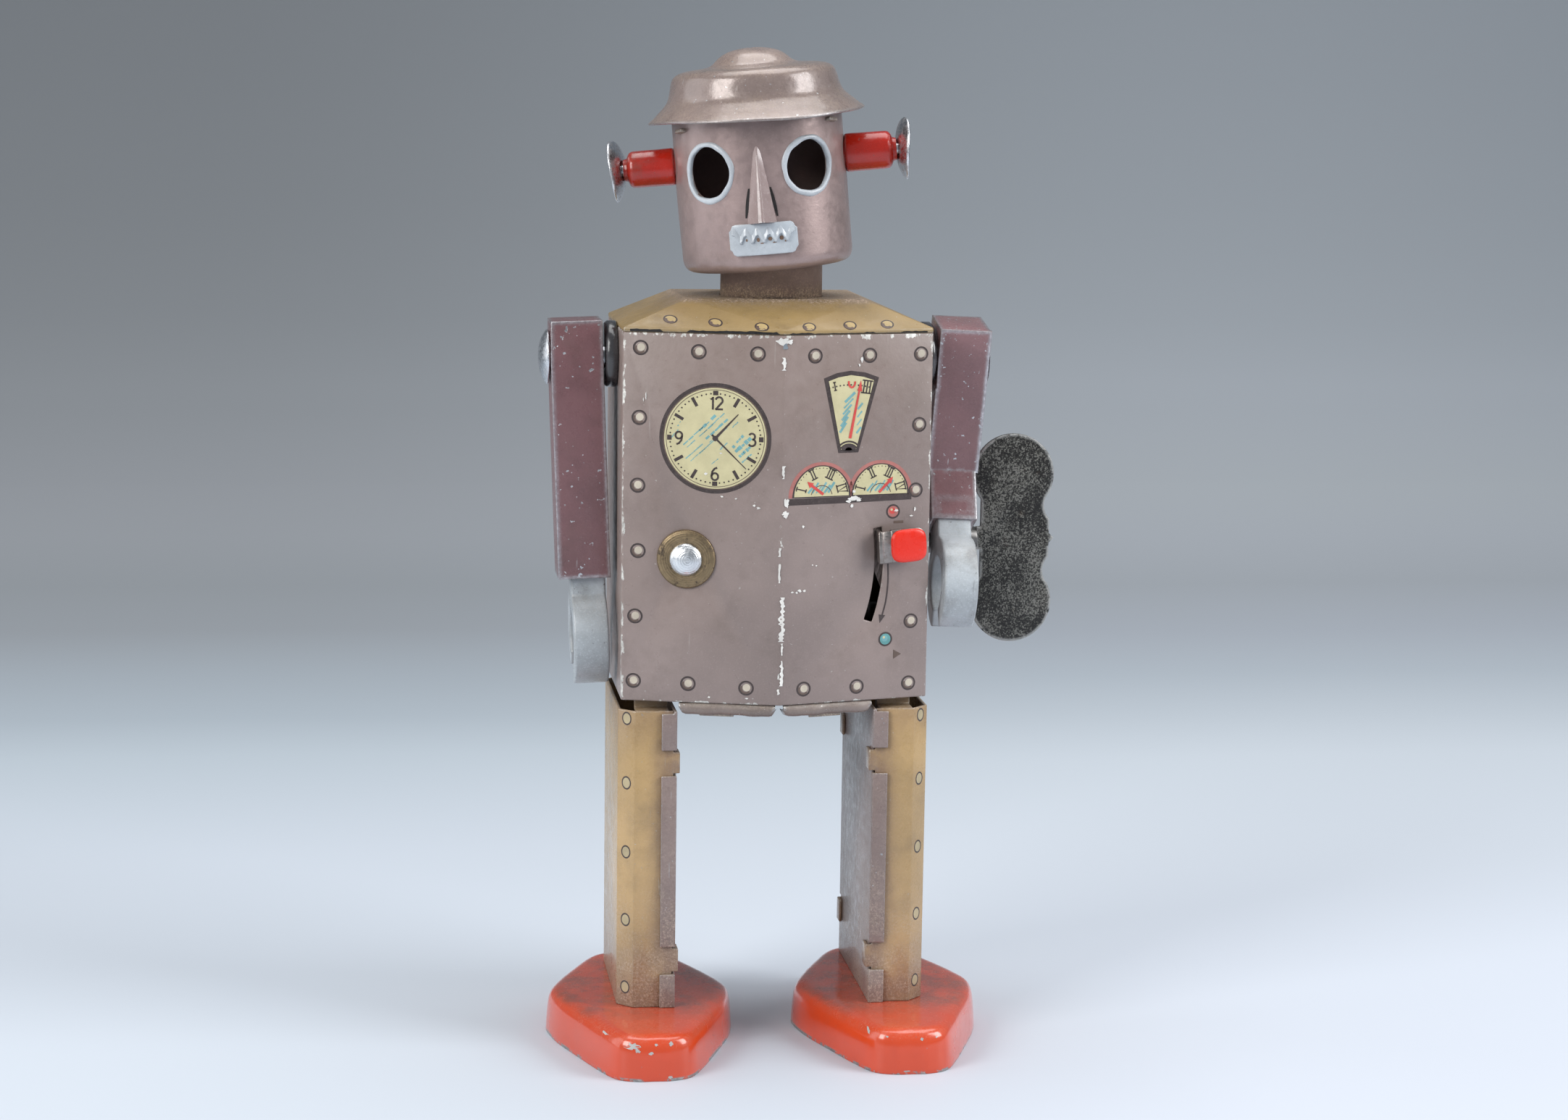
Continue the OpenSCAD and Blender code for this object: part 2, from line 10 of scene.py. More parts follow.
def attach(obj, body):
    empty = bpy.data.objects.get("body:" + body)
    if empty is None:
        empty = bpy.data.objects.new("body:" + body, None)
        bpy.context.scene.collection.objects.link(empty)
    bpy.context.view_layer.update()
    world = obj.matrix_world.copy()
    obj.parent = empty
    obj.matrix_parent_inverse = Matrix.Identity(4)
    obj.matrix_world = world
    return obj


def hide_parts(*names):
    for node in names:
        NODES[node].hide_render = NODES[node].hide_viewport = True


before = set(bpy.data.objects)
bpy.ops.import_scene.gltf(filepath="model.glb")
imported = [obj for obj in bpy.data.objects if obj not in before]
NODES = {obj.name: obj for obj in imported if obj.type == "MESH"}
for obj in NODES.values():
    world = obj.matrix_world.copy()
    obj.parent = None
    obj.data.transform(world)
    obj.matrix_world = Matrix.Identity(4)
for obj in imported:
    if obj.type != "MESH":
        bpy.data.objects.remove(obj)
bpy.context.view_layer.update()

random.seed(7)
MM = 0.001
ORG = Vector((-4.559, 0.1, 0.0))  # from midway between the feet, where the numbers below start, to the row frame
KV = 5.0 / 19.4
BETA = math.atan(KV)


# ------------------------------------------------------------------ node helpers
class Tree:
    """A few shorthands for building a shader from noise and masks."""

    def __init__(self, name):
        self.mat = bpy.data.materials.new(name)
        self.mat.use_nodes = True
        self.nt = self.mat.node_tree
        self.nt.nodes.clear()
        self.out = self.nt.nodes.new("ShaderNodeOutputMaterial")
        self.bsdf = self.nt.nodes.new("ShaderNodeBsdfPrincipled")
        self.nt.links.new(self.bsdf.outputs[0], self.out.inputs[0])
        tc = self.nt.nodes.new("ShaderNodeTexCoord")
        self.obj = self.add("ShaderNodeMapping", {0: tc.outputs["Object"]}).outputs[0]
        self.nt.nodes[-1].inputs["Scale"].default_value = (1000, 1000, 1000)
        self.nt.nodes[-1].inputs["Location"].default_value = tuple(-ORG)
        self.onrm = tc.outputs["Normal"]

    def add(self, kind, ins=None, **props):
        nd = self.nt.nodes.new(kind)
        for k, v in props.items():
            setattr(nd, k, v)
        for k, v in (ins or {}).items():
            s = nd.inputs[k]
            if isinstance(v, bpy.types.NodeSocket):
                self.nt.links.new(v, s)
            else:
                s.default_value = v
        return nd

    def math(self, op, a, b=0.0, clamp=False):
        return self.add("ShaderNodeMath", {0: a, 1: b}, operation=op, use_clamp=clamp).outputs[0]

    def mul(self, a, b):
        return self.math("MULTIPLY", a, b)

    def ramp(self, v, a, b, lo=0.0, hi=1.0):
        return self.add("ShaderNodeMapRange", {0: v, 1: a, 2: b, 3: lo, 4: hi}, interpolation_type="SMOOTHSTEP").outputs[0]

    def noise(self, scale, detail=4.0, rough=0.55, stretch=None, offset=0.0):
        vec = self.obj
        if stretch or offset:
            m = self.add("ShaderNodeMapping", {0: vec})
            m.inputs["Scale"].default_value = stretch or (1, 1, 1)
            m.inputs["Location"].default_value = (offset, offset * 0.7, -offset)
            vec = m.outputs[0]
        return self.add("ShaderNodeTexNoise", {"Vector": vec, "Scale": scale, "Detail": detail, "Roughness": rough}).outputs["Fac"]

    def mix(self, f, a, b):
        nd = self.add("ShaderNodeMix", data_type="RGBA")
        for idx, v in ((0, f), (6, a), (7, b)):
            s = nd.inputs[idx]
            if isinstance(v, bpy.types.NodeSocket):
                self.nt.links.new(v, s)
            else:
                s.default_value = (tuple(v) + (1.0,)) if idx and len(v) == 3 else v
        return nd.outputs[2]

    def mixf(self, f, a, b):
        nd = self.add("ShaderNodeMix", data_type="FLOAT")
        for idx, v in ((0, f), (2, a), (3, b)):
            s = nd.inputs[idx]
            if isinstance(v, bpy.types.NodeSocket):
                self.nt.links.new(v, s)
            else:
                s.default_value = v
        return nd.outputs[0]

    def xyz(self, vec=None):
        return self.add("ShaderNodeSeparateXYZ", {0: vec or self.obj}).outputs

    def edge(self, radius, hi=0.985, lo=0.80):
        """1 on a corner, 0 on a flat."""
        bv = self.add("ShaderNodeBevel", {"Radius": radius * MM}, samples=4).outputs[0]
        geo = self.add("ShaderNodeNewGeometry").outputs["Normal"]
        d = self.add("ShaderNodeVectorMath", {0: bv, 1: geo}, operation="DOT_PRODUCT").outputs["Value"]
        return self.ramp(d, hi, lo, 0.0, 1.0), bv


def finish_bump(t, height, strength, dist, normal=None):
    ins = {"Strength": strength, "Distance": dist * MM, "Height": height}
    if normal is not None:
        ins["Normal"] = normal
    b = t.add("ShaderNodeBump", ins)
    t.nt.links.new(b.outputs[0], t.bsdf.inputs["Normal"])


def paint(name, base, bare=(0.62, 0.63, 0.65), edge=0.35, wear=0.5, rough=0.38, dust=0.0, vary=0.12,
          speck=0.25, coat=0.0, grime=0.25, bare_metal=1.0, extra=None, dust_col=(0.36, 0.27, 0.19), chip_scale=1.1,
          scratch=0.3, peel=0.25, dust_z=None, bevel=0.22, tint=None, edge_hi=0.985, edge_lo=0.80, up_lo=0.05, up_hi=0.75, metal0=0.0):
    """Old lacquer on metal: uneven colour, chips along the edges, small specks, hairline scratches, grime and dust."""
    t = Tree(name)
    big = t.noise(0.055, 3.0)
    mid = t.noise(0.45, 4.0, offset=3.1)
    fine = t.noise(4.5, 2.0, offset=9.2)
    d = tuple(c * (1 - vary * 1.2) for c in base)
    l = tuple(min(1, c * (1 + vary)) for c in base)
    col = t.mix(t.ramp(big, 0.35, 0.65), d, l)
    col = t.mix(t.mul(t.ramp(mid, 0.45, 0.7), 0.30), col, tuple(c * (1 - vary * 2.0) for c in base))
    col = t.mix(t.mul(t.ramp(fine, 0.5, 0.75), speck * 0.5), col, tuple(min(1, c * 1.35 + 0.02) for c in base))
    # soft grime in patches
    gr = t.mul(t.ramp(t.noise(0.16, 6.0, 0.65, offset=21.0), 0.50, 0.72), grime)
    col = t.mix(gr, col, (0.085, 0.062, 0.045))
    if tint:
        tm, tcol = tint(t)
        col = t.mix(tm, col, tcol)
    e, bv = t.edge(edge, edge_hi, edge_lo)
    chipn = t.noise(chip_scale, 6.0, 0.62, offset=5.5)
    chip = t.math("ADD", t.mul(e, 0.62 * wear + 0.18), t.math("SUBTRACT", chipn, 0.5))
    chip = t.ramp(chip, 0.40 - 0.10 * wear, 0.46 - 0.10 * wear)
    # stray specks away from edges, and thin scratches
    spk = t.ramp(t.noise(2.3, 1.0, 0.4, offset=31.0), 0.775 - 0.03 * wear, 0.80 - 0.03 * wear)
    scr = t.ramp(t.noise(1.3, 1.0, 0.3, stretch=(2.2, 2.2, 0.12), offset=12.0), 0.755, 0.78)
    scr = t.mul(scr, t.ramp(t.noise(0.12, 2.0, offset=2.0), 0.5, 0.62))
    chip = t.math("MAXIMUM", chip, t.math("MAXIMUM", t.mul(spk, min(1.0, wear)), t.mul(scr, scratch)))
    if extra:
        chip = t.math("MAXIMUM", chip, extra(t), clamp=True)
    tone = t.noise(2.0, 3.0, offset=14.0)
    barec = t.mix(t.ramp(tone, 0.3, 0.75), tuple(c * 0.55 for c in bare), bare)
    col = t.mix(chip, col, barec)
    r = t.ramp(t.noise(0.8, 5.0, 0.6, offset=7.7), 0.3, 0.7, rough - 0.07, rough + 0.12)
    r = t.mixf(chip, r, 0.36)
    metal = t.math("MAXIMUM", t.mul(chip, bare_metal), metal0)
    if dust > 0:
        nz = t.xyz(t.onrm)[2]
        up = t.ramp(nz, up_lo, up_hi)
        if dust_z:
            z = t.xyz()[2]
            near = t.ramp(z, dust_z[0], dust_z[1], dust_z[2], dust_z[3])
            up = t.math("MAXIMUM", up, near)
        grain = t.ramp(t.noise(3.4, 5.0, 0.8, offset=17.0), 0.42, 0.60)
        cloud = t.ramp(t.noise(0.25, 4.0, 0.6, offset=27.0), 0.30, 0.60, 0.35, 1.0)
        film = t.mul(t.mul(up, cloud), min(0.75, dust * 0.45))
        col = t.mix(film, col, tuple(c * 0.62 for c in dust_col))
        du = t.math("MULTIPLY", t.mul(up, dust), t.mul(grain, cloud), clamp=True)
        dc = t.mix(t.ramp(t.noise(5.0, 2.0), 0.42, 0.60), tuple(c * 0.85 for c in dust_col), tuple(min(1, c * 1.55 + 0.02) for c in dust_col))
        col = t.mix(du, col, dc)
        r = t.mixf(du, r, 0.85)
        metal = t.mul(metal, t.math("SUBTRACT", 1.0, du))
    for k, v in (("Base Color", col), ("Roughness", r), ("Metallic", metal)):
        t.nt.links.new(v, t.bsdf.inputs[k])
    t.bsdf.inputs["Coat Weight"].default_value = coat
    t.bsdf.inputs["Coat Roughness"].default_value = 0.12
    h = t.math("SUBTRACT", t.mul(t.noise(1.6, 3.0, offset=1.0), peel), t.mul(chip, 0.7))
    h = t.math("ADD", h, t.mul(fine, 0.12))
    finish_bump(t, h, 0.35, 0.10, t.add("ShaderNodeBevel", {"Radius": bevel * MM}, samples=4).outputs[0])
    return t.mat


def metal(name, base, rough=0.35, vary=0.2, tarnish=(0.10, 0.07, 0.05), stain=0.4, stretch=None, grain=0.35, turned=None, dull=0.12, bevel=0.15):
    """Bare or plated metal with stains, fine marks and, where asked, turning rings about an axis."""
    t = Tree(name)
    n1 = t.noise(0.5, 5.0, 0.65)
    n2 = t.noise(3.0, 5.0, 0.7, stretch=stretch, offset=4.0)
    col = t.mix(t.ramp(n1, 0.35, 0.68), tuple(c * (1 - vary) for c in base), base)
    col = t.mix(t.mul(t.ramp(n2, 0.45, 0.75), grain), col, tuple(min(1, c * 1.3) for c in base))
    st = t.mul(t.ramp(t.noise(0.9, 7.0, 0.72, offset=13.0), 0.50, 0.66), stain)
    col = t.mix(st, col, tarnish)
    r = t.mixf(st, t.ramp(n2, 0.3, 0.7, rough - 0.08, rough + dull), 0.62)
    h = t.math("ADD", t.mul(n2, 0.6), t.mul(t.noise(8.0, 2.0), 0.3))
    if turned:
        (cx, cy, cz), plane = turned
        x, y, z = t.xyz()
        a = t.math("SUBTRACT", x if plane != "yz" else y, cx if plane != "yz" else cy)
        b = t.math("SUBTRACT", z, cz)
        rad = t.math("SQRT", t.math("ADD", t.mul(a, a), t.mul(b, b)))
        rings = t.math("SINE", t.mul(rad, 22.0))
        h = t.math("ADD", h, t.mul(rings, 0.5))
        col = t.mix(t.mul(t.ramp(rings, 0.2, 1.0), 0.25), col, tuple(c * 0.6 for c in base))
    for k, v in (("Base Color", col), ("Roughness", r), ("Metallic", t.math("SUBTRACT", 1.0, t.mul(st, 0.6)))):
        t.nt.links.new(v, t.bsdf.inputs[k])
    finish_bump(t, h, 0.25, 0.05, t.add("ShaderNodeBevel", {"Radius": bevel * MM}, samples=4).outputs[0])
    return t.mat


def ink(name, col, vary=0.12, fade=0.12, rough=0.36, under=(0.27, 0.215, 0.195)):
    """Printed ink: slightly uneven, and rubbed through here and there to the ground colour."""
    t = Tree(name)
    c = t.mix(t.ramp(t.noise(0.5, 4.0), 0.3, 0.7), tuple(x * (1 - vary) for x in col), tuple(min(1, x * (1 + vary)) for x in col))
    c = t.mix(t.mul(t.ramp(t.noise(3.5, 3.0, 0.7, offset=8.0), 0.50, 0.75), fade), c, under)
    t.nt.links.new(c, t.bsdf.inputs["Base Color"])
    t.nt.links.new(t.ramp(t.noise(1.0, 4.0), 0.3, 0.7, rough - 0.06, rough + 0.12), t.bsdf.inputs["Roughness"])
    finish_bump(t, t.noise(3.0, 3.0), 0.12, 0.05)
    return t.mat


# ------------------------------------------------------------------ chips that belong to one part
def panel_wear(t):
    """White chips down the crease, along the top edge and down the sides of the chest sheet."""
    x, y, z = t.xyz()
    ax = t.math("ABSOLUTE", x)
    n = t.noise(0.95, 6.0, 0.68, stretch=(1.0, 1.0, 0.55), offset=41.0)
    patch = t.ramp(t.noise(0.13, 2.0, offset=61.0), 0.38, 0.60)
    crease = t.mul(t.ramp(ax, 0.10, 0.75, 0.315, 0.0), patch)
    top = t.ramp(z, 89.9, 91.1, 0.0, 0.335)
    side = t.mul(t.ramp(ax, 18.6, 19.3, 0.0, 0.345), t.ramp(t.xyz()[1], -4.6, -5.6))
    bottom = t.ramp(z, 45.8, 45.15, 0.0, 0.32)
    near = t.math("MAXIMUM", t.math("MAXIMUM", crease, top), t.math("MAXIMUM", side, bottom))
    front = t.ramp(y, 4.0, 0.0)
    return t.mul(t.ramp(t.math("ADD", near, t.math("SUBTRACT", n, 0.5)), 0.35, 0.385), front)


def leg_shade_tint(t):
    """Painted shade: the leg sheet is darkened brown toward the inner fold between the legs and under the chest at the
    top end; it is also darkened brown toward the foot.
    """
    x, y, z = t.xyz()
    ax = t.math("ABSOLUTE", x)
    inner = t.ramp(ax, 16.8, 12.9, 0.0, 0.85)
    ends = t.math("MAXIMUM", t.ramp(z, 16.0, 5.5, 0.0, 0.75), t.ramp(z, 38.0, 44.0, 0.0, 0.45))
    m = t.math("MAXIMUM", inner, ends)
    return t.mul(m, t.ramp(t.noise(0.35, 6.0, 0.7, offset=71.0), 0.25, 0.62, 0.35, 1.0)), (0.185, 0.115, 0.085)


def foot_tint(t):
    """A darker, browner patch on top of the foot, from the front of the leg backward."""
    x, y, z = t.xyz()
    n = t.ramp(t.noise(0.22, 6.0, 0.65, offset=81.0), 0.40, 0.66, 0.25, 1.0)
    near = t.mul(t.ramp(y, -14.5, -7.0), t.ramp(z, 4.9, 5.5, 0.10, 0.85))
    return t.mul(n, near), (0.235, 0.060, 0.040)


def plum_chips(t):
    """Small bare nicks scattered over the castings, thicker near the ends."""
    z = t.xyz()[2]
    ends = t.math("MAXIMUM", t.ramp(z, 84.0, 90.0, 0.0, 0.035), t.ramp(z, 64.0, 60.0, 0.0, 0.03))
    n = t.math("ADD", t.noise(1.25, 3.0, 0.55, offset=33.0), ends)
    return t.ramp(n, 0.690, 0.705)


def foot_edge(t):
    """The pressing's lower edge is rubbed to bare metal in places."""
    z = t.xyz()[2]
    return t.mul(t.ramp(z, 0.50, 0.26), t.ramp(t.noise(0.35, 4.0, 0.6, offset=91.0), 0.47, 0.53))


def chest_shade_tint(t):
    """Painted shade: browner and darker toward the shoulders under the yoke, and on the left round the washer beside
    the right arm.
    """
    x, y, z = t.xyz()
    top = t.ramp(z, 66.0, 90.0, 0.0, 0.55)
    left = t.mul(t.ramp(x, 4.0, -15.0), t.ramp(z, 50.0, 62.0, 0.0, 0.35))
    m = t.math("MAXIMUM", top, left)
    return t.mul(m, t.ramp(t.noise(0.07, 4.0, 0.6, offset=61.0), 0.30, 0.62, 0.45, 1.0)), (0.205, 0.150, 0.125)


# ------------------------------------------------------------------ materials
TAUPE = (0.262, 0.205, 0.188)
# The chest sheet's tint is painted shade under the yoke and beside the right arm.
M_panel = paint("lacquer_panel", TAUPE, bare=(0.74, 0.72, 0.67), edge=0.25, wear=0.30, rough=0.34, bare_metal=0.1, extra=panel_wear,
                grime=0.22, vary=0.10, speck=0.40, scratch=0.12, peel=0.5, tint=chest_shade_tint)
M_back = paint("lacquer_back", TAUPE, bare=(0.74, 0.72, 0.67), edge=0.25, wear=0.35, rough=0.36, bare_metal=0.2, grime=0.28, speck=0.4)
M_head = paint("lacquer_head", (0.315, 0.232, 0.218), bare=(0.55, 0.52, 0.50), metal0=0.45, edge=0.30, wear=0.18, rough=0.36, coat=0.30, grime=0.22, vary=0.13, scratch=0.8, speck=0.5,
               dust=0.25, peel=0.55)
M_nose = paint("lacquer_nose", (0.285, 0.212, 0.200), bare=(0.60, 0.58, 0.57), edge=0.30, wear=0.35, rough=0.22, coat=0.35, grime=0.10, vary=0.08, scratch=0.2, speck=0.4, peel=0.15, bevel=0.12)
M_lip = paint("lacquer_lip", (0.225, 0.180, 0.160), bare=(0.66, 0.66, 0.65), edge=0.55, wear=1.15, rough=0.30, grime=0.30, vary=0.2, speck=0.7, dust=0.35, dust_col=(0.33, 0.27, 0.21), edge_hi=0.99, edge_lo=0.82)
M_hat = paint("lacquer_hat", (0.245, 0.186, 0.168), metal0=0.15, bare=(0.64, 0.64, 0.65), edge=0.75, wear=0.90, rough=0.25, coat=0.35, grime=0.28, vary=0.15, scratch=0.3, speck=0.6,
              dust=0.20, peel=0.8, edge_hi=0.97, edge_lo=0.7)
M_neck = paint("lacquer_neck", (0.21, 0.145, 0.125), edge=0.3, wear=0.25, rough=0.45, dust=1.3, dust_z=(97.4, 95.2, 0.15, 1.0), grime=0.3, dust_col=(0.36, 0.26, 0.18))
M_yoke = paint("lacquer_yoke", (0.292, 0.200, 0.086), bare=(0.60, 0.60, 0.58), edge=0.45, wear=0.55, rough=0.34, dust=1.7, grime=0.28, vary=0.12, dust_col=(0.27, 0.20, 0.145),
               dust_z=(94.5, 95.15, 0.0, 1.0), speck=0.4, edge_hi=0.99, edge_lo=0.86, up_lo=0.90, up_hi=0.985)
# The leg paint's tint is painted shade toward the inner fold and under the chest.
M_leg = paint("lacquer_leg", (0.425, 0.282, 0.128), bare=(0.66, 0.64, 0.58), edge=0.40, wear=0.40, rough=0.26, coat=0.25, dust=0.6, grime=0.22, vary=0.14, dust_col=(0.36, 0.29, 0.23),
              dust_z=(24.0, 5.0, 0.12, 1.0), tint=leg_shade_tint, speck=0.4, edge_hi=0.99, edge_lo=0.88)
M_legin = paint("lacquer_leg_plate", (0.215, 0.160, 0.148), bare=(0.72, 0.74, 0.76), edge=0.30, wear=0.95, rough=0.28, dust=0.9, grime=0.28, dust_z=(30.0, 6.0, 0.15, 0.85), dust_col=(0.34, 0.28, 0.23), speck=0.5, coat=0.2)
M_plate = paint("lacquer_bottom", (0.19, 0.140, 0.115), bare=(0.60, 0.60, 0.60), edge=0.45, wear=0.75, rough=0.38, dust=1.1, dust_z=(47, 43, 0.5, 0.9), grime=0.35, dust_col=(0.33, 0.27, 0.21), edge_hi=0.99, edge_lo=0.85)
M_foot = paint("lacquer_foot", (0.605, 0.060, 0.015), bare=(0.50, 0.48, 0.46), edge=1.1, wear=0.22, rough=0.15, coat=0.6, grime=0.04, vary=0.05, speck=0.05, dust=0.16, scratch=0.1,
               dust_col=(0.42, 0.23, 0.17), peel=0.10, chip_scale=0.55, tint=foot_tint, extra=foot_edge)
M_ear = paint("lacquer_ear", (0.42, 0.014, 0.005), bare=(0.30, 0.24, 0.22), edge=0.4, wear=0.4, rough=0.22, coat=0.3, grime=0.5, vary=0.18)
M_tab = paint("lacquer_tab", (0.76, 0.021, 0.006), bare=(0.62, 0.62, 0.62), edge=0.35, wear=0.30, rough=0.26, coat=0.08, grime=0.05, vary=0.05, speck=0.05, scratch=0.1, peel=0.12)
# A lighter copy of the plum paint for the left arm: painted light, standing in for the brighter light from the right.
M_plum_lit = paint("paint_plum_left_lit", (0.215, 0.112, 0.117), bare=(0.74, 0.75, 0.77), edge=1.0, wear=1.2, rough=0.28, coat=0.15, grime=0.15, vary=0.14, chip_scale=0.85, speck=0.55, scratch=0.5, peel=0.7, edge_hi=0.995, edge_lo=0.88, extra=plum_chips)
M_plum = paint("paint_plum", (0.168, 0.080, 0.085), bare=(0.72, 0.73, 0.75), edge=1.0, wear=1.12, rough=0.30, coat=0.15, grime=0.18, vary=0.14, chip_scale=0.9, speck=0.55, scratch=0.4, peel=0.7, edge_hi=0.993, edge_lo=0.86, extra=plum_chips)
M_claw = paint("paint_silver", (0.44, 0.475, 0.50), bare=(0.30, 0.30, 0.30), edge=0.7, wear=0.85, rough=0.33, grime=0.40, vary=0.22, bare_metal=0.6, scratch=0.3, speck=0.7, peel=1.1,
               chip_scale=0.55, dust=0.25, dust_col=(0.30, 0.28, 0.25))
M_black = paint("lacquer_black", (0.035, 0.034, 0.037), bare=(0.50, 0.50, 0.52), edge=0.35, wear=0.4, rough=0.2, coat=0.4, grime=0.1)
M_silver = paint("bright_trim", (0.43, 0.46, 0.49), bare=(0.24, 0.22, 0.21), edge=0.3, wear=0.30, rough=0.30, grime=0.16, vary=0.16, bare_metal=0.6, speck=0.6, peel=0.8, coat=0.2)
M_mouth = paint("trim_mouth", (0.44, 0.475, 0.51), bare=(0.26, 0.23, 0.21), edge=0.3, wear=0.15, rough=0.22, grime=0.14, vary=0.14, bare_metal=0.3, speck=0.4, coat=0.35)
M_disc = metal("disc_metal", (0.70, 0.71, 0.73), rough=0.26, stain=0.55, tarnish=(0.13, 0.105, 0.10), grain=0.6)
M_rivet = metal("rivet_metal", (0.66, 0.68, 0.71), rough=0.28, stain=0.30, tarnish=(0.22, 0.20, 0.19))
M_rivet_lever = metal("rivet_turned", (0.80, 0.82, 0.84), rough=0.30, stain=0.15, tarnish=(0.25, 0.23, 0.22), turned=((-11.55, 0, 63.25), "xz"))
M_brass = metal("brass_old", (0.285, 0.212, 0.128), rough=0.42, stain=1.0, tarnish=(0.055, 0.038, 0.026), turned=((-11.55, 0, 63.25), "xz"), grain=0.5)
M_brassin = metal("brass_works", (0.55, 0.41, 0.18), rough=0.36, stain=0.4, tarnish=(0.16, 0.10, 0.05))
M_steel = metal("steel_works", (0.50, 0.50, 0.51), rough=0.34, stain=0.4, tarnish=(0.16, 0.12, 0.09), stretch=(1, 1, 0.15))
M_lever = metal("steel_lever", (0.33, 0.30, 0.28), rough=0.32, stain=0.6, tarnish=(0.14, 0.10, 0.08), stretch=(0.2, 1, 1))
M_spring = metal("spring_blued", (0.12, 0.14, 0.19), rough=0.3, stain=0.3, stretch=(0.1, 1, 1))
M_sole = metal("sole_steel", (0.45, 0.45, 0.46), rough=0.4, stain=0.7, tarnish=(0.20, 0.11, 0.06))
M_pin = metal("key_shaft", (0.16, 0.155, 0.15), rough=0.36, stain=0.6, tarnish=(0.05, 0.04, 0.03))


def key_mat():
    """Dark plating rubbed to a fine speckle with a bright rim."""
    t = Tree("plate_speckled")
    big = t.ramp(t.noise(0.12, 4.0, 0.6), 0.35, 0.65)
    n = t.noise(5.2, 6.0, 0.75, offset=2.0)
    thr = t.mixf(big, 0.48, 0.56)
    sp = t.ramp(t.math("SUBTRACT", n, thr), -0.01, 0.055)
    e, bv = t.edge(0.7, 0.995, 0.86)
    rim = t.mul(t.ramp(e, 0.04, 0.35), t.ramp(t.noise(0.8, 4.0, offset=8.0), 0.34, 0.46))
    col = t.mix(sp, (0.022, 0.021, 0.020), (0.21, 0.205, 0.185))
    rust = t.ramp(t.noise(0.35, 5.0, 0.7, offset=50.0), 0.60, 0.72)
    col = t.mix(t.mul(rust, 0.25), col, (0.17, 0.10, 0.055))
    col = t.mix(rim, col, (0.55, 0.55, 0.53))
    for k, v in (("Base Color", col), ("Roughness", t.mixf(sp, 0.34, 0.50)), ("Metallic", t.mixf(sp, 0.55, 0.85))):
        t.nt.links.new(v, t.bsdf.inputs[k])
    finish_bump(t, t.mul(sp, 0.7), 0.35, 0.06, t.add("ShaderNodeBevel", {"Radius": 0.2 * MM}, samples=4).outputs[0])
    return t.mat


M_key = key_mat()
I_dark = ink("ink_dark", (0.048, 0.034, 0.032), fade=0.15)
I_brown = ink("ink_brown", (0.115, 0.078, 0.062), fade=0.2)
I_cream = ink("ink_cream", (0.565, 0.510, 0.300), vary=0.06, fade=0.10)
I_cream2 = ink("ink_cream_rivet", (0.52, 0.46, 0.37), fade=0.25)
I_red = ink("ink_red", (0.60, 0.065, 0.055), fade=0.25)
I_pink = ink("ink_pink", (0.40, 0.145, 0.125), fade=0.45)
I_blue = ink("ink_blue", (0.16, 0.36, 0.38), fade=0.35, under=(0.565, 0.510, 0.300))
I_teal = ink("ink_teal", (0.11, 0.30, 0.30), fade=0.1)
I_white = ink("ink_chip", (0.72, 0.70, 0.66), fade=0.15)
I_bare = ink("ink_bare_metal", (0.42, 0.41, 0.40), fade=0.3, under=(0.20, 0.17, 0.15))
I_grey = ink("ink_strip", (0.20, 0.235, 0.265), fade=0.2)


# ------------------------------------------------------------------ mesh helpers (millimetres in, metres out)
def put(name, bm, body, mats, sharp=35, keep_units=False):
    if not keep_units:
        bm.transform(Matrix.Scale(MM, 4) @ Matrix.Translation(ORG))
    me = bpy.data.meshes.new(name)
    bm.to_mesh(me)
    bm.free()
    for m in (mats if isinstance(mats, (list, tuple)) else [mats]):
        me.materials.append(m)
    me.shade_smooth()
    if sharp:
        me.set_sharp_from_angle(angle=math.radians(sharp))
    ob = bpy.data.objects.new(name, me)
    bpy.context.scene.collection.objects.link(ob)
    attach(ob, body)
    return ob


def rotx(a): return Matrix.Rotation(math.radians(a), 4, "X")
def roty(a): return Matrix.Rotation(math.radians(a), 4, "Y")
def rotz(a): return Matrix.Rotation(math.radians(a), 4, "Z")
def tr(x, y, z): return Matrix.Translation((x, y, z))


HEAD = tr(0.2, 4, 95.2) @ roty(-5.5) @ rotz(-9)
HZ = 3.7


def refine(node, body, mat, width=0.2, seg=2, ang=28, clamp=True, sharp=40, name=None, dissolve=2.0):
    """The CAD node's own shape with its edges rounded over."""
    bm = bmesh.new()
    bm.from_mesh(NODES[node].data)
    bm.transform(Matrix.Translation(-ORG) @ Matrix.Scale(1000, 4))
    bmesh.ops.remove_doubles(bm, verts=bm.verts, dist=0.0008)
    if dissolve:
        bmesh.ops.dissolve_limit(bm, angle_limit=math.radians(dissolve), verts=bm.verts, edges=bm.edges, delimit={"NORMAL"})
    bmesh.ops.recalc_face_normals(bm, faces=bm.faces)
    if width:
        es = [e for e in bm.edges if len(e.link_faces) == 2 and e.calc_face_angle(0) > math.radians(ang)]
        bmesh.ops.bevel(bm, geom=es, offset=width, offset_type="OFFSET", segments=seg, profile=0.5, affect="EDGES", clamp_overlap=clamp)
        bmesh.ops.remove_doubles(bm, verts=bm.verts, dist=0.0005)
        bmesh.ops.recalc_face_normals(bm, faces=bm.faces)
    for f in bm.faces:
        f.material_index = 0
    ob = put(name or node + "_skin", bm, body, mat, sharp)
    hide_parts(node)
    return ob


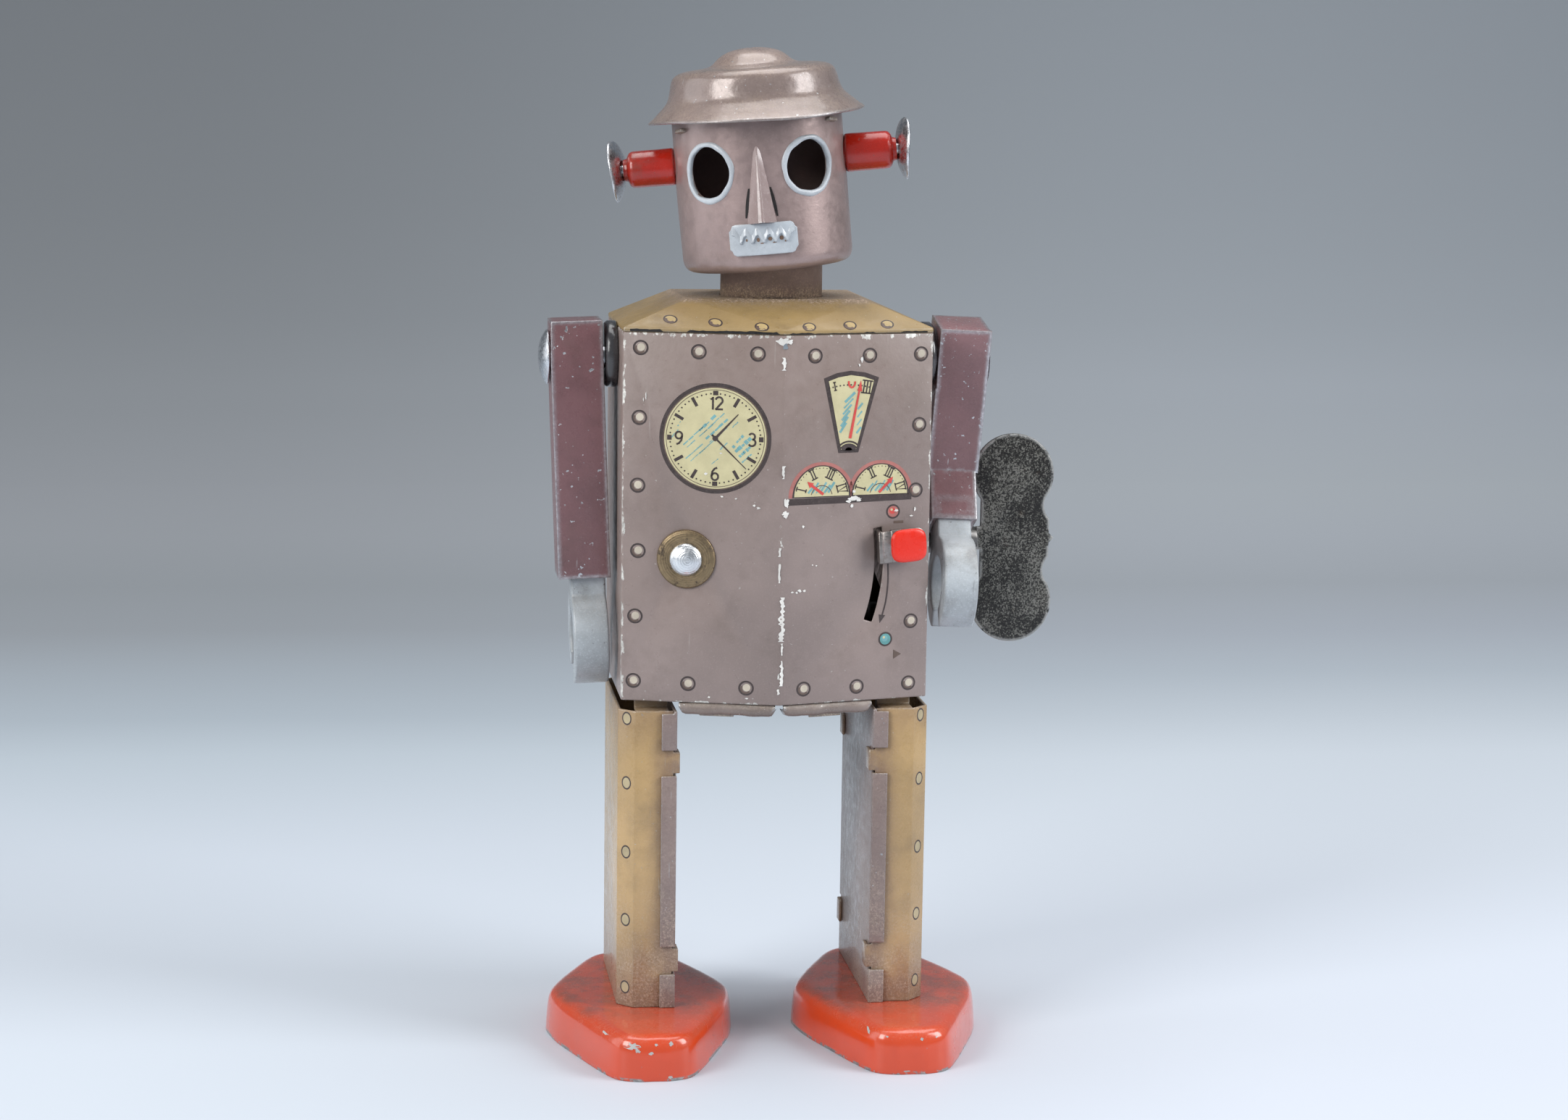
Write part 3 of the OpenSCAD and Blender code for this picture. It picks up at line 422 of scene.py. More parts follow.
def lathe(bm, prof, m, n=128, close=False, wob=None):
    """Revolve (r, z) points about Z, then place with m."""
    rings = []
    for r, z in prof:
        if r < 1e-6:
            rings.append([bm.verts.new(m @ Vector((0, 0, z)))])
        else:
            row = []
            for i in range(n):
                a = 2 * math.pi * i / n
                rr, zz = (r, z) if wob is None else wob(a, r, z)
                row.append(bm.verts.new(m @ Vector((rr * math.cos(a), rr * math.sin(a), zz))))
            rings.append(row)
    pairs = list(zip(rings, rings[1:]))
    if close:
        pairs.append((rings[-1], rings[0]))
    for a, b in pairs:
        for i in range(n):
            j = (i + 1) % n
            q = [a[i % len(a)], a[j % len(a)], b[j % len(b)], b[i % len(b)]]
            u = []
            for v in q:
                if v not in u:
                    u.append(v)
            if len(u) > 2:
                bm.faces.new(u)
    bmesh.ops.recalc_face_normals(bm, faces=bm.faces)
    return rings


def spline(pts, k=5, close=False):
    """Catmull-Rom through the points, k steps per span."""
    n = len(pts)
    out = []
    for i in range(n if close else n - 1):
        p = [pts[(i + d) % n] if close else pts[min(max(i + d, 0), n - 1)] for d in (-1, 0, 1, 2)]
        for s in range(k):
            t = s / k
            out.append(tuple(0.5 * (2 * b + (c - a) * t + (2 * a - 5 * b + 4 * c - d) * t * t + (3 * b - a - 3 * c + d) * t ** 3) for a, b, c, d in zip(*p)))
    if not close:
        out.append(tuple(pts[-1]))
    return out


# ------------------------------------------------------------------ printed graphics
class Print:
    """Flat printed shapes laid on a surface: every corner is dropped on the sheet, a hair above it."""

    def __init__(self, drop):
        self.bm = bmesh.new()
        self.drop = drop
        self.mats = []
        self.level = 0

    def mi(self, m):
        if m not in self.mats:
            self.mats.append(m)
        return self.mats.index(m)

    def poly(self, pts, m, h):
        vs = [self.bm.verts.new(self.drop(x, z, h)) for x, z in pts]
        f = self.bm.faces.new(vs)
        f.material_index = self.mi(m)

    def fan(self, c, pts, m, h):
        cv = self.bm.verts.new(self.drop(c[0], c[1], h))
        vs = [self.bm.verts.new(self.drop(x, z, h)) for x, z in pts]
        for i in range(len(vs)):
            f = self.bm.faces.new([cv, vs[i], vs[(i + 1) % len(vs)]])
            f.material_index = self.mi(m)

    def disc(self, c, r, m, h, n=64, sx=1.0):
        self.fan(c, [(c[0] + sx * r * math.cos(2 * math.pi * i / n), c[1] + r * math.sin(2 * math.pi * i / n)) for i in range(n)], m, h)

    def band(self, a, b, m, h, close=False):
        va = [self.bm.verts.new(self.drop(x, z, h)) for x, z in a]
        vb = [self.bm.verts.new(self.drop(x, z, h)) for x, z in b]
        n = len(va)
        for i in range(n if close else n - 1):
            j = (i + 1) % n
            f = self.bm.faces.new([va[i], va[j], vb[j], vb[i]])
            f.material_index = self.mi(m)

    def arc(self, c, r, w, a0, a1, m, h, n=48, sx=1.0):
        full = abs(a1 - a0) >= 359.9
        k = n if full else n + 1
        an = [math.radians(a0 + (a1 - a0) * i / n) for i in range(k)]
        self.band([(c[0] + sx * (r - w / 2) * math.cos(a), c[1] + (r - w / 2) * math.sin(a)) for a in an],
                  [(c[0] + sx * (r + w / 2) * math.cos(a), c[1] + (r + w / 2) * math.sin(a)) for a in an], m, h, full)

    def line(self, pts, w, m, h, taper=None):
        n = len(pts)
        a, b = [], []
        for i, p in enumerate(pts):
            q0, q1 = pts[max(i - 1, 0)], pts[min(i + 1, n - 1)]
            dx, dz = q1[0] - q0[0], q1[1] - q0[1]
            L = math.hypot(dx, dz) or 1
            ww = w if taper is None else w + (taper - w) * i / (n - 1)
            nx, nz = -dz / L * ww / 2, dx / L * ww / 2
            a.append((p[0] + nx, p[1] + nz))
            b.append((p[0] - nx, p[1] - nz))
        self.band(a, b, m, h)

    def glyph(self, g, c, s, w, m, h, ang=0.0):
        ca, sa = math.cos(math.radians(ang)), math.sin(math.radians(ang))
        for st in GLYPH[g]:
            self.line([(c[0] + s * (x * ca - z * sa), c[1] + s * (x * sa + z * ca)) for x, z in st], w, m, h)

    def make(self, name, body):
        return put(name, self.bm, body, self.mats, sharp=None)


def ell(cx, cz, rx, rz, a0, a1, n=14):
    return [(cx + rx * math.cos(math.radians(a0 + (a1 - a0) * i / n)), cz + rz * math.sin(math.radians(a0 + (a1 - a0) * i / n))) for i in range(n + 1)]


GLYPH = {
    "1": [[(-0.12, 0.30), (0.06, 0.5), (0.06, -0.5)]],
    "2": [ell(0, 0.22, 0.27, 0.28, 165, -25, 12) + [(-0.28, -0.5)], [(-0.28, -0.47), (0.30, -0.47)]],
    "3": [ell(-0.02, 0.25, 0.24, 0.25, 150, -80, 10), ell(-0.02, -0.22, 0.28, 0.28, 85, -150, 12)],
    "6": [ell(0, -0.22, 0.26, 0.28, 0, 360, 18), [(-0.26, -0.20), (-0.20, 0.18), (-0.02, 0.42), (0.18, 0.5)]],
    "9": [ell(0, 0.22, 0.26, 0.28, 0, 360, 18), [(0.26, 0.20), (0.20, -0.18), (0.02, -0.42), (-0.18, -0.5)]],
    "I": [[(0, 0.5), (0, -0.5)], [(-0.18, 0.5), (0.18, 0.5)], [(-0.18, -0.5), (0.18, -0.5)]],
    "II": [[(-0.14, 0.5), (-0.14, -0.5)], [(0.14, 0.5), (0.14, -0.5)], [(-0.34, 0.5), (0.34, 0.5)], [(-0.34, -0.5), (0.34, -0.5)]],
    "III": [[(-0.26, 0.5), (-0.26, -0.5)], [(0, 0.5), (0, -0.5)], [(0.26, 0.5), (0.26, -0.5)], [(-0.45, 0.5), (0.45, 0.5)], [(-0.45, -0.5), (0.45, -0.5)]],
    "IV": [[(-0.36, 0.5), (-0.36, -0.5)], [(-0.12, 0.5), (0.14, -0.5), (0.40, 0.5)], [(-0.5, 0.5), (0.5, 0.5)], [(-0.5, -0.5), (0.3, -0.5)]],
}


def on_chest(x, z, h):
    s = -1 if x < 0 else 1
    return Vector((x + s * h * math.sin(BETA) * 1.0, -11 + KV * abs(x) - h * math.cos(BETA), z))


def caster(*nodes):
    """Drops (x, z) along +Y on the named CAD nodes, a little above the hit."""
    vs, fs = [], []
    for nd in nodes:
        o = NODES[nd] if isinstance(nd, str) else nd
        base = len(vs)
        vs += [v.co * 1000 - ORG for v in o.data.vertices]
        fs += [[base + i for i in p.vertices] for p in o.data.polygons]
    tree = BVHTree.FromPolygons(vs, fs)

    def drop(x, z, h):
        loc, nrm, _, _ = tree.ray_cast(Vector((x, -60, z)), Vector((0, 1, 0)))
        if loc is None:
            return Vector((x, 0, z))
        if nrm.y > 0:
            nrm = -nrm
        return loc + nrm * h
    return drop


def ring_rivet(P, x, z, r=0.95, sx=1.0, dark=None, ground=None, light=None, dot=0.52, crescent=True):
    """A printed rivet: dark ring, ground colour inside, a pale dot with a dark crescent below it."""
    dark, light = dark or I_dark, light or I_cream2
    P.arc((x, z), r * 0.88, r * 0.24, 0, 360, dark, 0.012, 32, sx)
    if ground:
        P.disc((x, z), r * 0.77, ground, 0.014, 28, sx)
    if crescent:
        P.arc((x - 0.03, z - 0.04), r * 0.60, 0.20, 150, 320, I_brown, 0.020, 20, sx)
    if dot:
        P.disc((x + 0.06, z + 0.07), r * dot, light, 0.028, 24, sx)


def chest_print():
    P = Print(on_chest)
    xs = (-17.6, -10.7, -3.6, 3.6, 10.8, 17.4)
    zs = [88.9 - 8.34 * i for i in range(6)]
    for x, z in ((-17.3, 89.4), (-10.3, 89.05), (-3.2, 88.95), (3.95, 88.72), (11.05, 88.65), (17.8, 88.7),
                 (-17.9, 47.65), (-11.2, 47.5), (-4.1, 47.2), (3.1, 47.05), (10.1, 46.95), (17.0, 47.0)):
        ring_rivet(P, x, z, dot=0.50)
    for x, z in ((-17.4, 80.75), (-17.55, 72.3), (-17.45, 64.1), (-17.75, 55.85), (17.75, 79.85), (17.45, 71.6), (17.15, 54.95)):
        ring_rivet(P, x, z, dot=0.50)
    # clock
    c = (-8.2, 78.4)
    sx = 0.985
    P.disc(c, 6.86, I_dark, 0.012, 96, sx)
    P.disc(c, 6.42, I_brown, 0.020, 96, sx)
    P.disc(c, 6.26, I_cream, 0.030, 96, sx)
    P.arc(c, 6.02, 0.07, 0, 360, I_brown, 0.045, 96, sx)
    for i in range(60):
        a = math.radians(6 * i)
        if i % 5:
            P.disc((c[0] + 5.55 * math.cos(a) * sx, c[1] + 5.55 * math.sin(a)), 0.105, I_dark, 0.045, 8)
        elif i % 15:
            P.line([(c[0] + r * math.cos(a) * sx, c[1] + r * math.sin(a)) for r in (4.55, 5.75)], 0.38, I_dark, 0.045)
        else:
            P.line([(c[0] + r * math.cos(a) * sx, c[1] + r * math.sin(a)) for r in (5.35, 5.9)], 0.62, I_dark, 0.045)
    for g, dx in (("1", -0.42), ("2", 0.42)):
        P.glyph(g, (c[0] + dx, c[1] + 4.35), 1.55, 0.24, I_dark, 0.05)
    P.glyph("3", (c[0] + 4.45, c[1] - 0.05), 1.55, 0.24, I_dark, 0.05)
    P.glyph("6", (c[0], c[1] - 4.4), 1.55, 0.24, I_dark, 0.05)
    P.glyph("9", (c[0] - 4.4, c[1] - 0.05), 1.55, 0.24, I_dark, 0.05)
    rnd = random.Random(5)
    for x0, z0, x1, z1, w in ((-5.3, 0.0, -4.2, 1.3, 0.10), (-4.6, 1.4, -3.9, 2.5, 0.12), (-3.9, -0.9, -0.6, 2.2, 0.16), (-3.4, -1.2, -0.9, 1.1, 0.10), (-3.5, -2.6, -1.0, -0.3, 0.12), (-3.0, -2.9, -1.2, -1.3, 0.10),
                              (-1.9, 0.9, 0.4, 3.3, 0.30), (-1.4, 0.7, 1.0, 3.1, 0.14), (-1.1, -0.1, 1.5, 2.5, 0.24), (-0.7, -0.5, 1.3, 1.3, 0.12), (-1.9, -1.9, 0.6, 0.5, 0.10), (2.1, -1.1, 3.4, 0.5, 0.34),
                              (2.5, -1.6, 4.3, 0.2, 0.42), (2.9, -2.2, 4.3, -0.9, 0.36), (3.2, -2.9, 4.4, -1.8, 0.16), (0.3, -1.6, 1.5, -0.5, 0.12), (-0.4, -3.2, 0.4, -2.5, 0.10), (2.0, 1.4, 2.9, 2.3, 0.12)):
        k = 5
        for q in range(k):
            if rnd.random() < 0.16:
                continue
            ta, tb = q / k, (q + rnd.uniform(0.75, 1.15)) / k
            jt = rnd.uniform(-0.05, 0.05)
            P.line([(c[0] + x0 + (x1 - x0) * ta + jt, c[1] + z0 + (z1 - z0) * ta), (c[0] + x0 + (x1 - x0) * tb + jt, c[1] + z0 + (z1 - z0) * tb)], w * rnd.uniform(0.6, 1.3), I_blue, 0.036)
    P.line([c, (c[0] + 2.75, c[1] + 3.05)], 0.34, I_dark, 0.06, 0.12)
    P.line([(c[0] - 0.4, c[1] + 0.45), (c[0] + 3.75, c[1] - 3.7)], 0.26, I_dark, 0.06, 0.10)
    P.disc(c, 0.34, I_dark, 0.07, 20)
    # fan gauge
    out = [(5.1, 85.9), (6.8, 86.55), (8.6, 86.8), (10.5, 86.55), (12.3, 85.9), (9.75, 76.6), (7.15, 76.6)]
    P.fan((8.7, 82), out, I_dark, 0.012)
    inn = [(5.75, 85.55), (7.0, 86.0), (8.65, 86.25), (10.3, 86.0), (11.65, 85.55), (9.45, 77.0), (7.5, 77.0)]
    P.fan((8.65, 82), inn, I_cream, 0.024)
    for z, w in ((77.2, 1.0), (77.55, 0.85), (77.9, 0.6)):
        P.arc((8.48, 76.3), z - 76.3 + 0.1, 0.22, 40, 140, I_dark, 0.04, 14)
    P.fan((8.48, 76.85), [(8.48 + 0.95 * math.cos(math.radians(a)), 76.95 + 0.75 * math.sin(math.radians(a))) for a in range(0, 181, 12)], I_dark, 0.045)
    for a in range(-17, 18, 3):
        r = 8.55
        P.disc((8.5 + r * math.sin(math.radians(a)) * 1.06, 76.5 + r * math.cos(math.radians(a))), 0.10, I_dark, 0.05, 8)
    P.glyph("I", (6.55, 84.9), 1.0, 0.15, I_dark, 0.05, 10)
    P.glyph("III", (10.75, 84.75), 1.55, 0.17, I_dark, 0.05, -8)
    for k in range(6):
        x0, z0 = 7.45 + 0.12 * k, 79.6 + 0.75 * k
        P.line([(x0 - 0.15, z0 - 0.45), (x0 + 0.65 + 0.1 * k, z0 + 0.75)], rnd.uniform(0.16, 0.46), I_blue, 0.034)
    for k in range(4):
        x0, z0 = 9.75 + 0.05 * k, 79.4 + 1.0 * k
        P.line([(x0 - 0.3, z0 - 0.4), (x0 + 0.3, z0 + 0.35)], rnd.uniform(0.16, 0.28), I_blue, 0.034)
    P.line([(8.62, 78.4), (9.85, 84.9)], 0.38, I_red, 0.06, 0.22)
    P.poly([(9.95, 85.6), (9.45, 84.3), (10.1, 84.2)], I_red, 0.062)
    P.line(ell(8.75, 85.35, 0.42, 0.62, 165, 370, 8), 0.24, I_red, 0.062)
    # the two half-round gauges on one bar
    for cx, R, zb, ndl in ((5.05, 3.80, 71.15, 138), (12.75, 3.80, 71.15, 50)):
        ring = [(cx + R * 1.13 * math.cos(math.radians(a)), zb + R * 1.16 * math.sin(math.radians(a))) for a in range(0, 181, 6)]
        P.fan((cx, zb + 1), ring, I_pink, 0.010)
        ring = [(cx + R * math.cos(math.radians(a)), zb + R * 1.05 * math.sin(math.radians(a))) for a in range(0, 181, 6)]
        P.fan((cx, zb + 1), ring, I_dark, 0.020)
        ring = [(cx + (R - 0.24) * math.cos(math.radians(a)), zb + 0.12 + (R - 0.24) * 1.05 * math.sin(math.radians(a))) for a in range(0, 181, 6)]
        P.fan((cx, zb + 1), ring, I_cream, 0.030)
        for a in range(15, 170, 8):
            P.disc((cx + (R - 0.42) * math.cos(math.radians(a)), zb + 0.1 + (R - 0.42) * 1.05 * math.sin(math.radians(a))), 0.07, I_dark, 0.045, 8)
        for k, g in enumerate(("I", "II", "III", "IV")):
            a = 165 - 50 * k
            P.glyph(g, (cx + (R - 1.05) * math.cos(math.radians(a)), zb + 0.25 + (R - 1.05) * 1.05 * math.sin(math.radians(a))), 1.25, 0.15, I_dark, 0.05, a - 90)
        P.arc((cx, zb + 0.1), R * 0.36, 0.10, 10, 170, I_brown, 0.045, 14)
        for k in range(6):
            u = (k - 2.5) * 0.52
            P.line([(cx + u - 0.45, zb + 0.55), (cx + u + 0.35, zb + 1.5 + 0.35 * (k % 2))], rnd.uniform(0.16, 0.30), I_blue, 0.036)
        a = math.radians(ndl)
        P.line([(cx - 0.3 * math.cos(a), zb + 0.35), (cx + 1.9 * math.cos(a), zb + 0.3 + 1.9 * math.sin(a))], 0.34, I_red, 0.06)
        tip = (cx + 2.55 * math.cos(a), zb + 0.3 + 2.55 * math.sin(a))
        P.poly([tip, (cx + 1.75 * math.cos(a) - 0.4 * math.sin(a), zb + 0.3 + 1.75 * math.sin(a) + 0.4 * math.cos(a)),
                (cx + 1.75 * math.cos(a) + 0.4 * math.sin(a), zb + 0.3 + 1.75 * math.sin(a) - 0.4 * math.cos(a))], I_red, 0.062)
    P.line([(0.7, 70.65), (9.0, 70.72), (16.9, 70.85)], 0.80, I_dark, 0.02)
    def chip(cx, cz, rx, rz, n=14, m=None):
        P.fan((cx, cz), [(cx + rx * rnd.uniform(0.45, 1.25) * math.cos(2 * math.pi * q / n), cz + rz * rnd.uniform(0.45, 1.25) * math.sin(2 * math.pi * q / n)) for q in range(n)], m or I_white, 0.075)
    for cx, cz, rx, rz in ((9.2, 70.9, 0.75, 0.42), (8.6, 70.5, 0.40, 0.25), (9.9, 70.7, 0.38, 0.30), (9.3, 71.7, 0.32, 0.22), (9.0, 69.9, 0.25, 0.25), (14.9, 69.1, 0.28, 0.22), (17.4, 69.2, 0.2, 0.3), (16.9, 68.4, 0.25, 0.12),
                           (-2.9, 69.9, 0.26, 0.2), (-3.4, 70.2, 0.18, 0.15), (-7.3, 71.2, 0.18, 0.14), (-5.6, 71.0, 0.16, 0.1), (0.55, 70.6, 0.35, 0.75), (0.35, 69.2, 0.45, 0.50), (2.7, 67.6, 0.16, 0.20),
                           (2.4, 59.5, 0.30, 0.20), (3.0, 59.5, 0.24, 0.18), (2.0, 59.3, 0.2, 0.15), (1.4, 59.4, 0.2, 0.1), (4.0, 62.7, 0.12, 0.1), (4.5, 62.6, 0.14, 0.1),
                           (-16.6, 83.4, 0.08, 0.5), (-16.9, 83.0, 0.06, 0.35), (-7.5, 76.6, 0.22, 0.1), (-9.3, 74.0, 0.26, 0.18), (10.0, 88.2, 0.16, 0.4), (9.7, 87.5, 0.14, 0.2), (-4.0, 45.9, 0.2, 0.1), (-8.6, 45.9, 0.2, 0.12)):
        chip(cx, cz, rx, rz)
    # the bare break where the crease meets the top edge, and a run of chips down the crease
    chip(0.0, 90.55, 0.95, 0.55, 18)
    chip(0.1, 89.9, 0.35, 0.40, 12, I_grey)
    for z0, z1, w in ((88.6, 87.0, 0.30), (75.2, 73.6, 0.22), (65.0, 63.9, 0.20), (63.0, 60.6, 0.16), (58.8, 53.2, 0.42), (53.0, 51.5, 0.22), (50.8, 47.6, 0.26), (47.2, 46.5, 0.20)):
        k = max(4, int((z0 - z1) / 0.22))
        zs2 = [z0 + (z1 - z0) * q / k for q in range(k + 1)]
        dx = rnd.uniform(-0.22, 0.22)
        a = [(dx - w * rnd.uniform(0.2, 1.2), z) for z in zs2]
        b = [(dx + w * rnd.uniform(0.1, 1.1), z) for z in zs2]
        P.band(a, b, I_white, 0.07)
    # lamps with plain bar and dot marks, and the curved arrow beside the slot
    for (x, z), m in (((14.5, 69.0), I_pink), ((13.8, 52.8), I_teal)):
        P.disc((x, z), 0.92, I_dark, 0.012, 32)
        P.disc((x, z), 0.70, m, 0.024, 32)
        P.disc((x - 0.1, z + 0.1), 0.40, I_red if m is I_pink else I_blue, 0.034, 24)
        P.disc((x - 0.2, z + 0.25), 0.16, I_cream, 0.044, 12)
    P.line([(14.6, 67.65), (15.9, 67.65)], 0.34, I_brown, 0.02)
    P.poly([(14.9, 51.4), (14.9, 50.2), (15.95, 50.8)], I_brown, 0.02)
    pts = spline([(13.95, 62.4), (14.0, 60.0), (13.75, 57.6), (13.25, 55.7)], 6)
    P.line(pts, 0.20, I_dark, 0.02)
    P.poly([(13.0, 54.9), (12.85, 56.0), (13.72, 55.85)], I_dark, 0.022)
    return P.make("chest_print", "torso")


chest_print()

# yoke rivets and leg rivets
drop = caster("yoke")
P = Print(drop)
I_myoke = ink("ink_mustard_yoke", (0.42, 0.31, 0.145), fade=0.1, under=(0.35, 0.25, 0.115))
for x, z in ((-13.6, 92.85), (-8.2, 92.6), (-2.7, 92.25), (3.2, 92.25), (8.5, 92.35), (13.4, 92.4)):
    ring_rivet(P, x, z, r=0.47, sx=1.85, ground=I_myoke, light=I_myoke, dot=0.30, crescent=True)
I_gap = ink("ink_joint", (0.010, 0.008, 0.007), fade=0.08)
rnd = random.Random(11)
xs = [-18.6 + 0.4 * i for i in range(94)]
lo_e, hi_e = [], []
for x in xs:
    k = 0.34 if x < 0 else 0.20
    if abs(abs(x) - 13.4) < 1.6 or abs(x) < 0.7:
        k = 0.05
    if 3.5 < x < 10.5:
        k = 0.10
    lo_e.append((x, 91.36))
    hi_e.append((x, 91.38 + k * rnd.uniform(0.7, 1.1)))
P.band(lo_e, hi_e, I_gap, 0.03)
P.make("yoke_print", "torso")
I_must = ink("ink_mustard_leg", (0.40, 0.33, 0.20), fade=0.1, under=(0.35, 0.25, 0.115))
for side, s in (("right", -1), ("left", 1)):
    P = Print(caster("leg_channel_" + side))
    for z in (43.4, 34.6, 25.7, 16.9, 8.1):
        ring_rivet(P, s * 18.68, min(z, 42.85), r=0.86, sx=0.62, ground=I_must, dot=0, crescent=False)
    P.make("leg_print_" + side, side + "_leg")

# ------------------------------------------------------------------ torso
refine("torso_front", "torso", M_panel, width=0.16, seg=2, clamp=False, ang=12, name="chest_sheet")
refine("torso_back", "torso", M_back, width=0.12, seg=2, clamp=True, name="back_sheet")
refine("yoke", "torso", M_yoke, width=0.14, seg=2, clamp=False, ang=12, name="yoke_sheet")
refine("bottom_plate", "torso", M_plate, width=0.10, seg=2, clamp=False, name="floor_sheet")



def floor_lip(name, x0, x1, zt, prof2):
    """The floor's front edge, rolled forward under the chest sheet."""
    bm = bmesh.new()
    n = max(8, int(abs(x1 - x0) / 0.4))
    rows = []
    for i in range(n + 1):
        x = x0 + (x1 - x0) * i / n
        e = min(abs(x - x0), abs(x1 - x)) / 0.9
        k = 1 if e >= 1 else math.sqrt(max(0.0, 1 - (1 - e) ** 2)) * 0.55 + 0.45
        wv = 0.07 * math.sin(0.9 * x + zt) + 0.04 * math.sin(2.3 * x)
        y = -11 + KV * abs(x)
        sg = 1 if x > 0 else -1
        row = []
        for d, z in prof2:
            dd = d + wv * (1 if d < 0.5 else 0)
            row.append(bm.verts.new(Vector((x - sg * dd * math.sin(BETA), y + dd * math.cos(BETA), zt + z * k + wv * 0.5))))
        rows.append(row)
    m = len(prof2)
    for a, b in zip(rows, rows[1:]):
        for k in range(m):
            bm.faces.new([a[k], b[k], b[(k + 1) % m], a[(k + 1) % m]])
    bm.faces.new(rows[0][::-1])
    bm.faces.new(rows[-1])
    bmesh.ops.recalc_face_normals(bm, faces=bm.faces)
    put(name, bm, "torso", M_lip, sharp=50)


ROLL = [(0.55, 0.10), (0.20, 0.02), (-0.05, -0.25), (-0.17, -0.65), (-0.10, -1.05), (0.10, -1.32), (0.45, -1.45), (1.3, -1.48), (1.3, -1.28), (0.5, -1.24), (0.28, -1.10), (0.14, -0.85), (0.10, -0.5), (0.3, -0.10)]
floor_lip("floor_lip_right", -12.3, -0.55, 45.02, ROLL)
floor_lip("floor_lip_left", 0.55, 12.1, 45.02, ROLL)
refine("neck", "torso", M_neck, width=0.0, dissolve=0, name="neck_sheet")

# ------------------------------------------------------------------ head
EYE_Z = HZ + 12.6


def can_r(a, z):
    """The drawn can is not perfectly round: a shallow wave runs round it."""
    return 10.76 + 0.05 * math.sin(2 * a + 0.6) * math.sin(0.35 * z) + 0.03 * math.sin(5 * a + 0.21 * z) - (0.10 if z < HZ + 3 else 0.0) * 0


def can_pt(u, z, h=0.0):
    a = u / 10.8
    r = can_r(a, z) + h
    return HEAD @ Vector((r * math.sin(a), -r * math.cos(a), z))


def head_can():
    bm = bmesh.new()
    NU, dz = 170, 0.4
    du = 2 * math.pi * 10.8 / NU
    zk = [EYE_Z + dz * k for k in range(-27, 21)]
    grid = {}
    for j, z in enumerate(zk):
        for i in range(NU):
            grid[i, j] = bm.verts.new(can_pt(i * du, z))
    def cell_in_eye(i, j):
        for c in (17, NU - 17):
            d = (i - c + NU // 2) % NU - NU // 2
            if -11 <= d < 11 and -11 <= j - 27 < 11:
                return True
        return False
    for j in range(len(zk) - 1):
        for i in range(NU):
            if not cell_in_eye(i, j):
                bm.faces.new([grid[i, j], grid[(i + 1) % NU, j], grid[(i + 1) % NU, j + 1], grid[i, j + 1]])
    for c in (17, -17):
        loop = [(-11 + q, -11) for q in range(22)] + [(11, -11 + q) for q in range(22)] + [(11 - q, 11) for q in range(22)] + [(-11, 11 - q) for q in range(22)]
        rings = [[grid[(c + a) % NU, 27 + b] for a, b in loop]]
        for f in (0.18, 0.36, 0.54, 0.72, 0.87, 1.0):
            row = []
            for a, b in loop:
                th = math.atan2(b * dz, a * du)
                uo, vo = a * du, b * dz
                ui, vi = 3.22 * math.cos(th), 3.22 * math.sin(th)
                row.append(bm.verts.new(can_pt(c * du + uo + (ui - uo) * f, EYE_Z + vo + (vi - vo) * f)))
            rings.append(row)
        rings.append([bm.verts.new(can_pt(c * du + 3.22 * math.cos(math.atan2(b * dz, a * du)), EYE_Z + 3.22 * math.sin(math.atan2(b * dz, a * du)), -0.45)) for a, b in loop])
        for ra, rb in zip(rings, rings[1:]):
            for k in range(88):
                q = (k + 1) % 88
                bm.faces.new([ra[k], ra[q], rb[q], rb[k]])
    # rounded lower corner and turned-in floor
    prev = [grid[i, 0] for i in range(NU)]
    for r, z in ((10.74, 1.45), (10.66, 1.05), (10.50, 0.68), (10.24, 0.38), (9.86, 0.16), (9.40, 0.04), (8.8, 0.0), (7.0, 0.0)):
        row = []
        for i in range(NU):
            a = i * du / 10.8
            k = 1 + (can_r(a, HZ + z) - 10.76) / 10.76
            row.append(bm.verts.new(HEAD @ Vector((r * k * math.sin(a), -r * k * math.cos(a), HZ + z))))
        for i in range(NU):
            bm.faces.new([prev[i], row[i], row[(i + 1) % NU], prev[(i + 1) % NU]])
        prev = row
    bmesh.ops.recalc_face_normals(bm, faces=bm.faces)
    ob = put("head_can", bm, "torso", M_head, sharp=60)
    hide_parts("head_shell")


head_can()
bm = bmesh.new()
prof = [(13.45, -0.22), (13.62, -0.12), (13.65, 0.02), (13.5, 0.16), (12.9, 0.62), (12.3, 1.2), (11.7, 1.75), (11.2, 2.3), (10.85, 3.0), (10.62, 3.9), (10.42, 4.7), (10.15, 5.3), (9.6, 5.75),
        (8.8, 6.02), (7.5, 6.2), (6.4, 6.28), (5.6, 6.4), (5.0, 6.7), (4.5, 7.15), (3.9, 7.62), (3.1, 8.02), (2.2, 8.26), (1.2, 8.42), (0, 8.47)]
inn = [(max(r - 0.30, 0), z - 0.34) for r, z in prof[3:]]
inn[-1] = (0, 8.2)
outer = spline(prof, 3)
inner = spline(inn, 2)


def dent(a, r, z):
    w = 0.10 * math.sin(2 * a + 0.7) + 0.06 * math.sin(3 * a + 2.0) + 0.03 * math.sin(7 * a)
    k = max(0.0, min(1.0, (r - 9.5) / 4))
    return min(r, 13.64), z + w * k * 1.3 + 0.05 * math.sin(2 * a + 1.0)


lathe(bm, outer[::-1], HEAD @ tr(0, 0, 22.6), 144, wob=dent)
lathe(bm, inner, HEAD @ tr(0, 0, 22.6), 144, wob=dent)
bmesh.ops.remove_doubles(bm, verts=bm.verts, dist=0.002)
ob = put("hat_pressing", bm, "torso", M_hat, sharp=60)
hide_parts("hat")


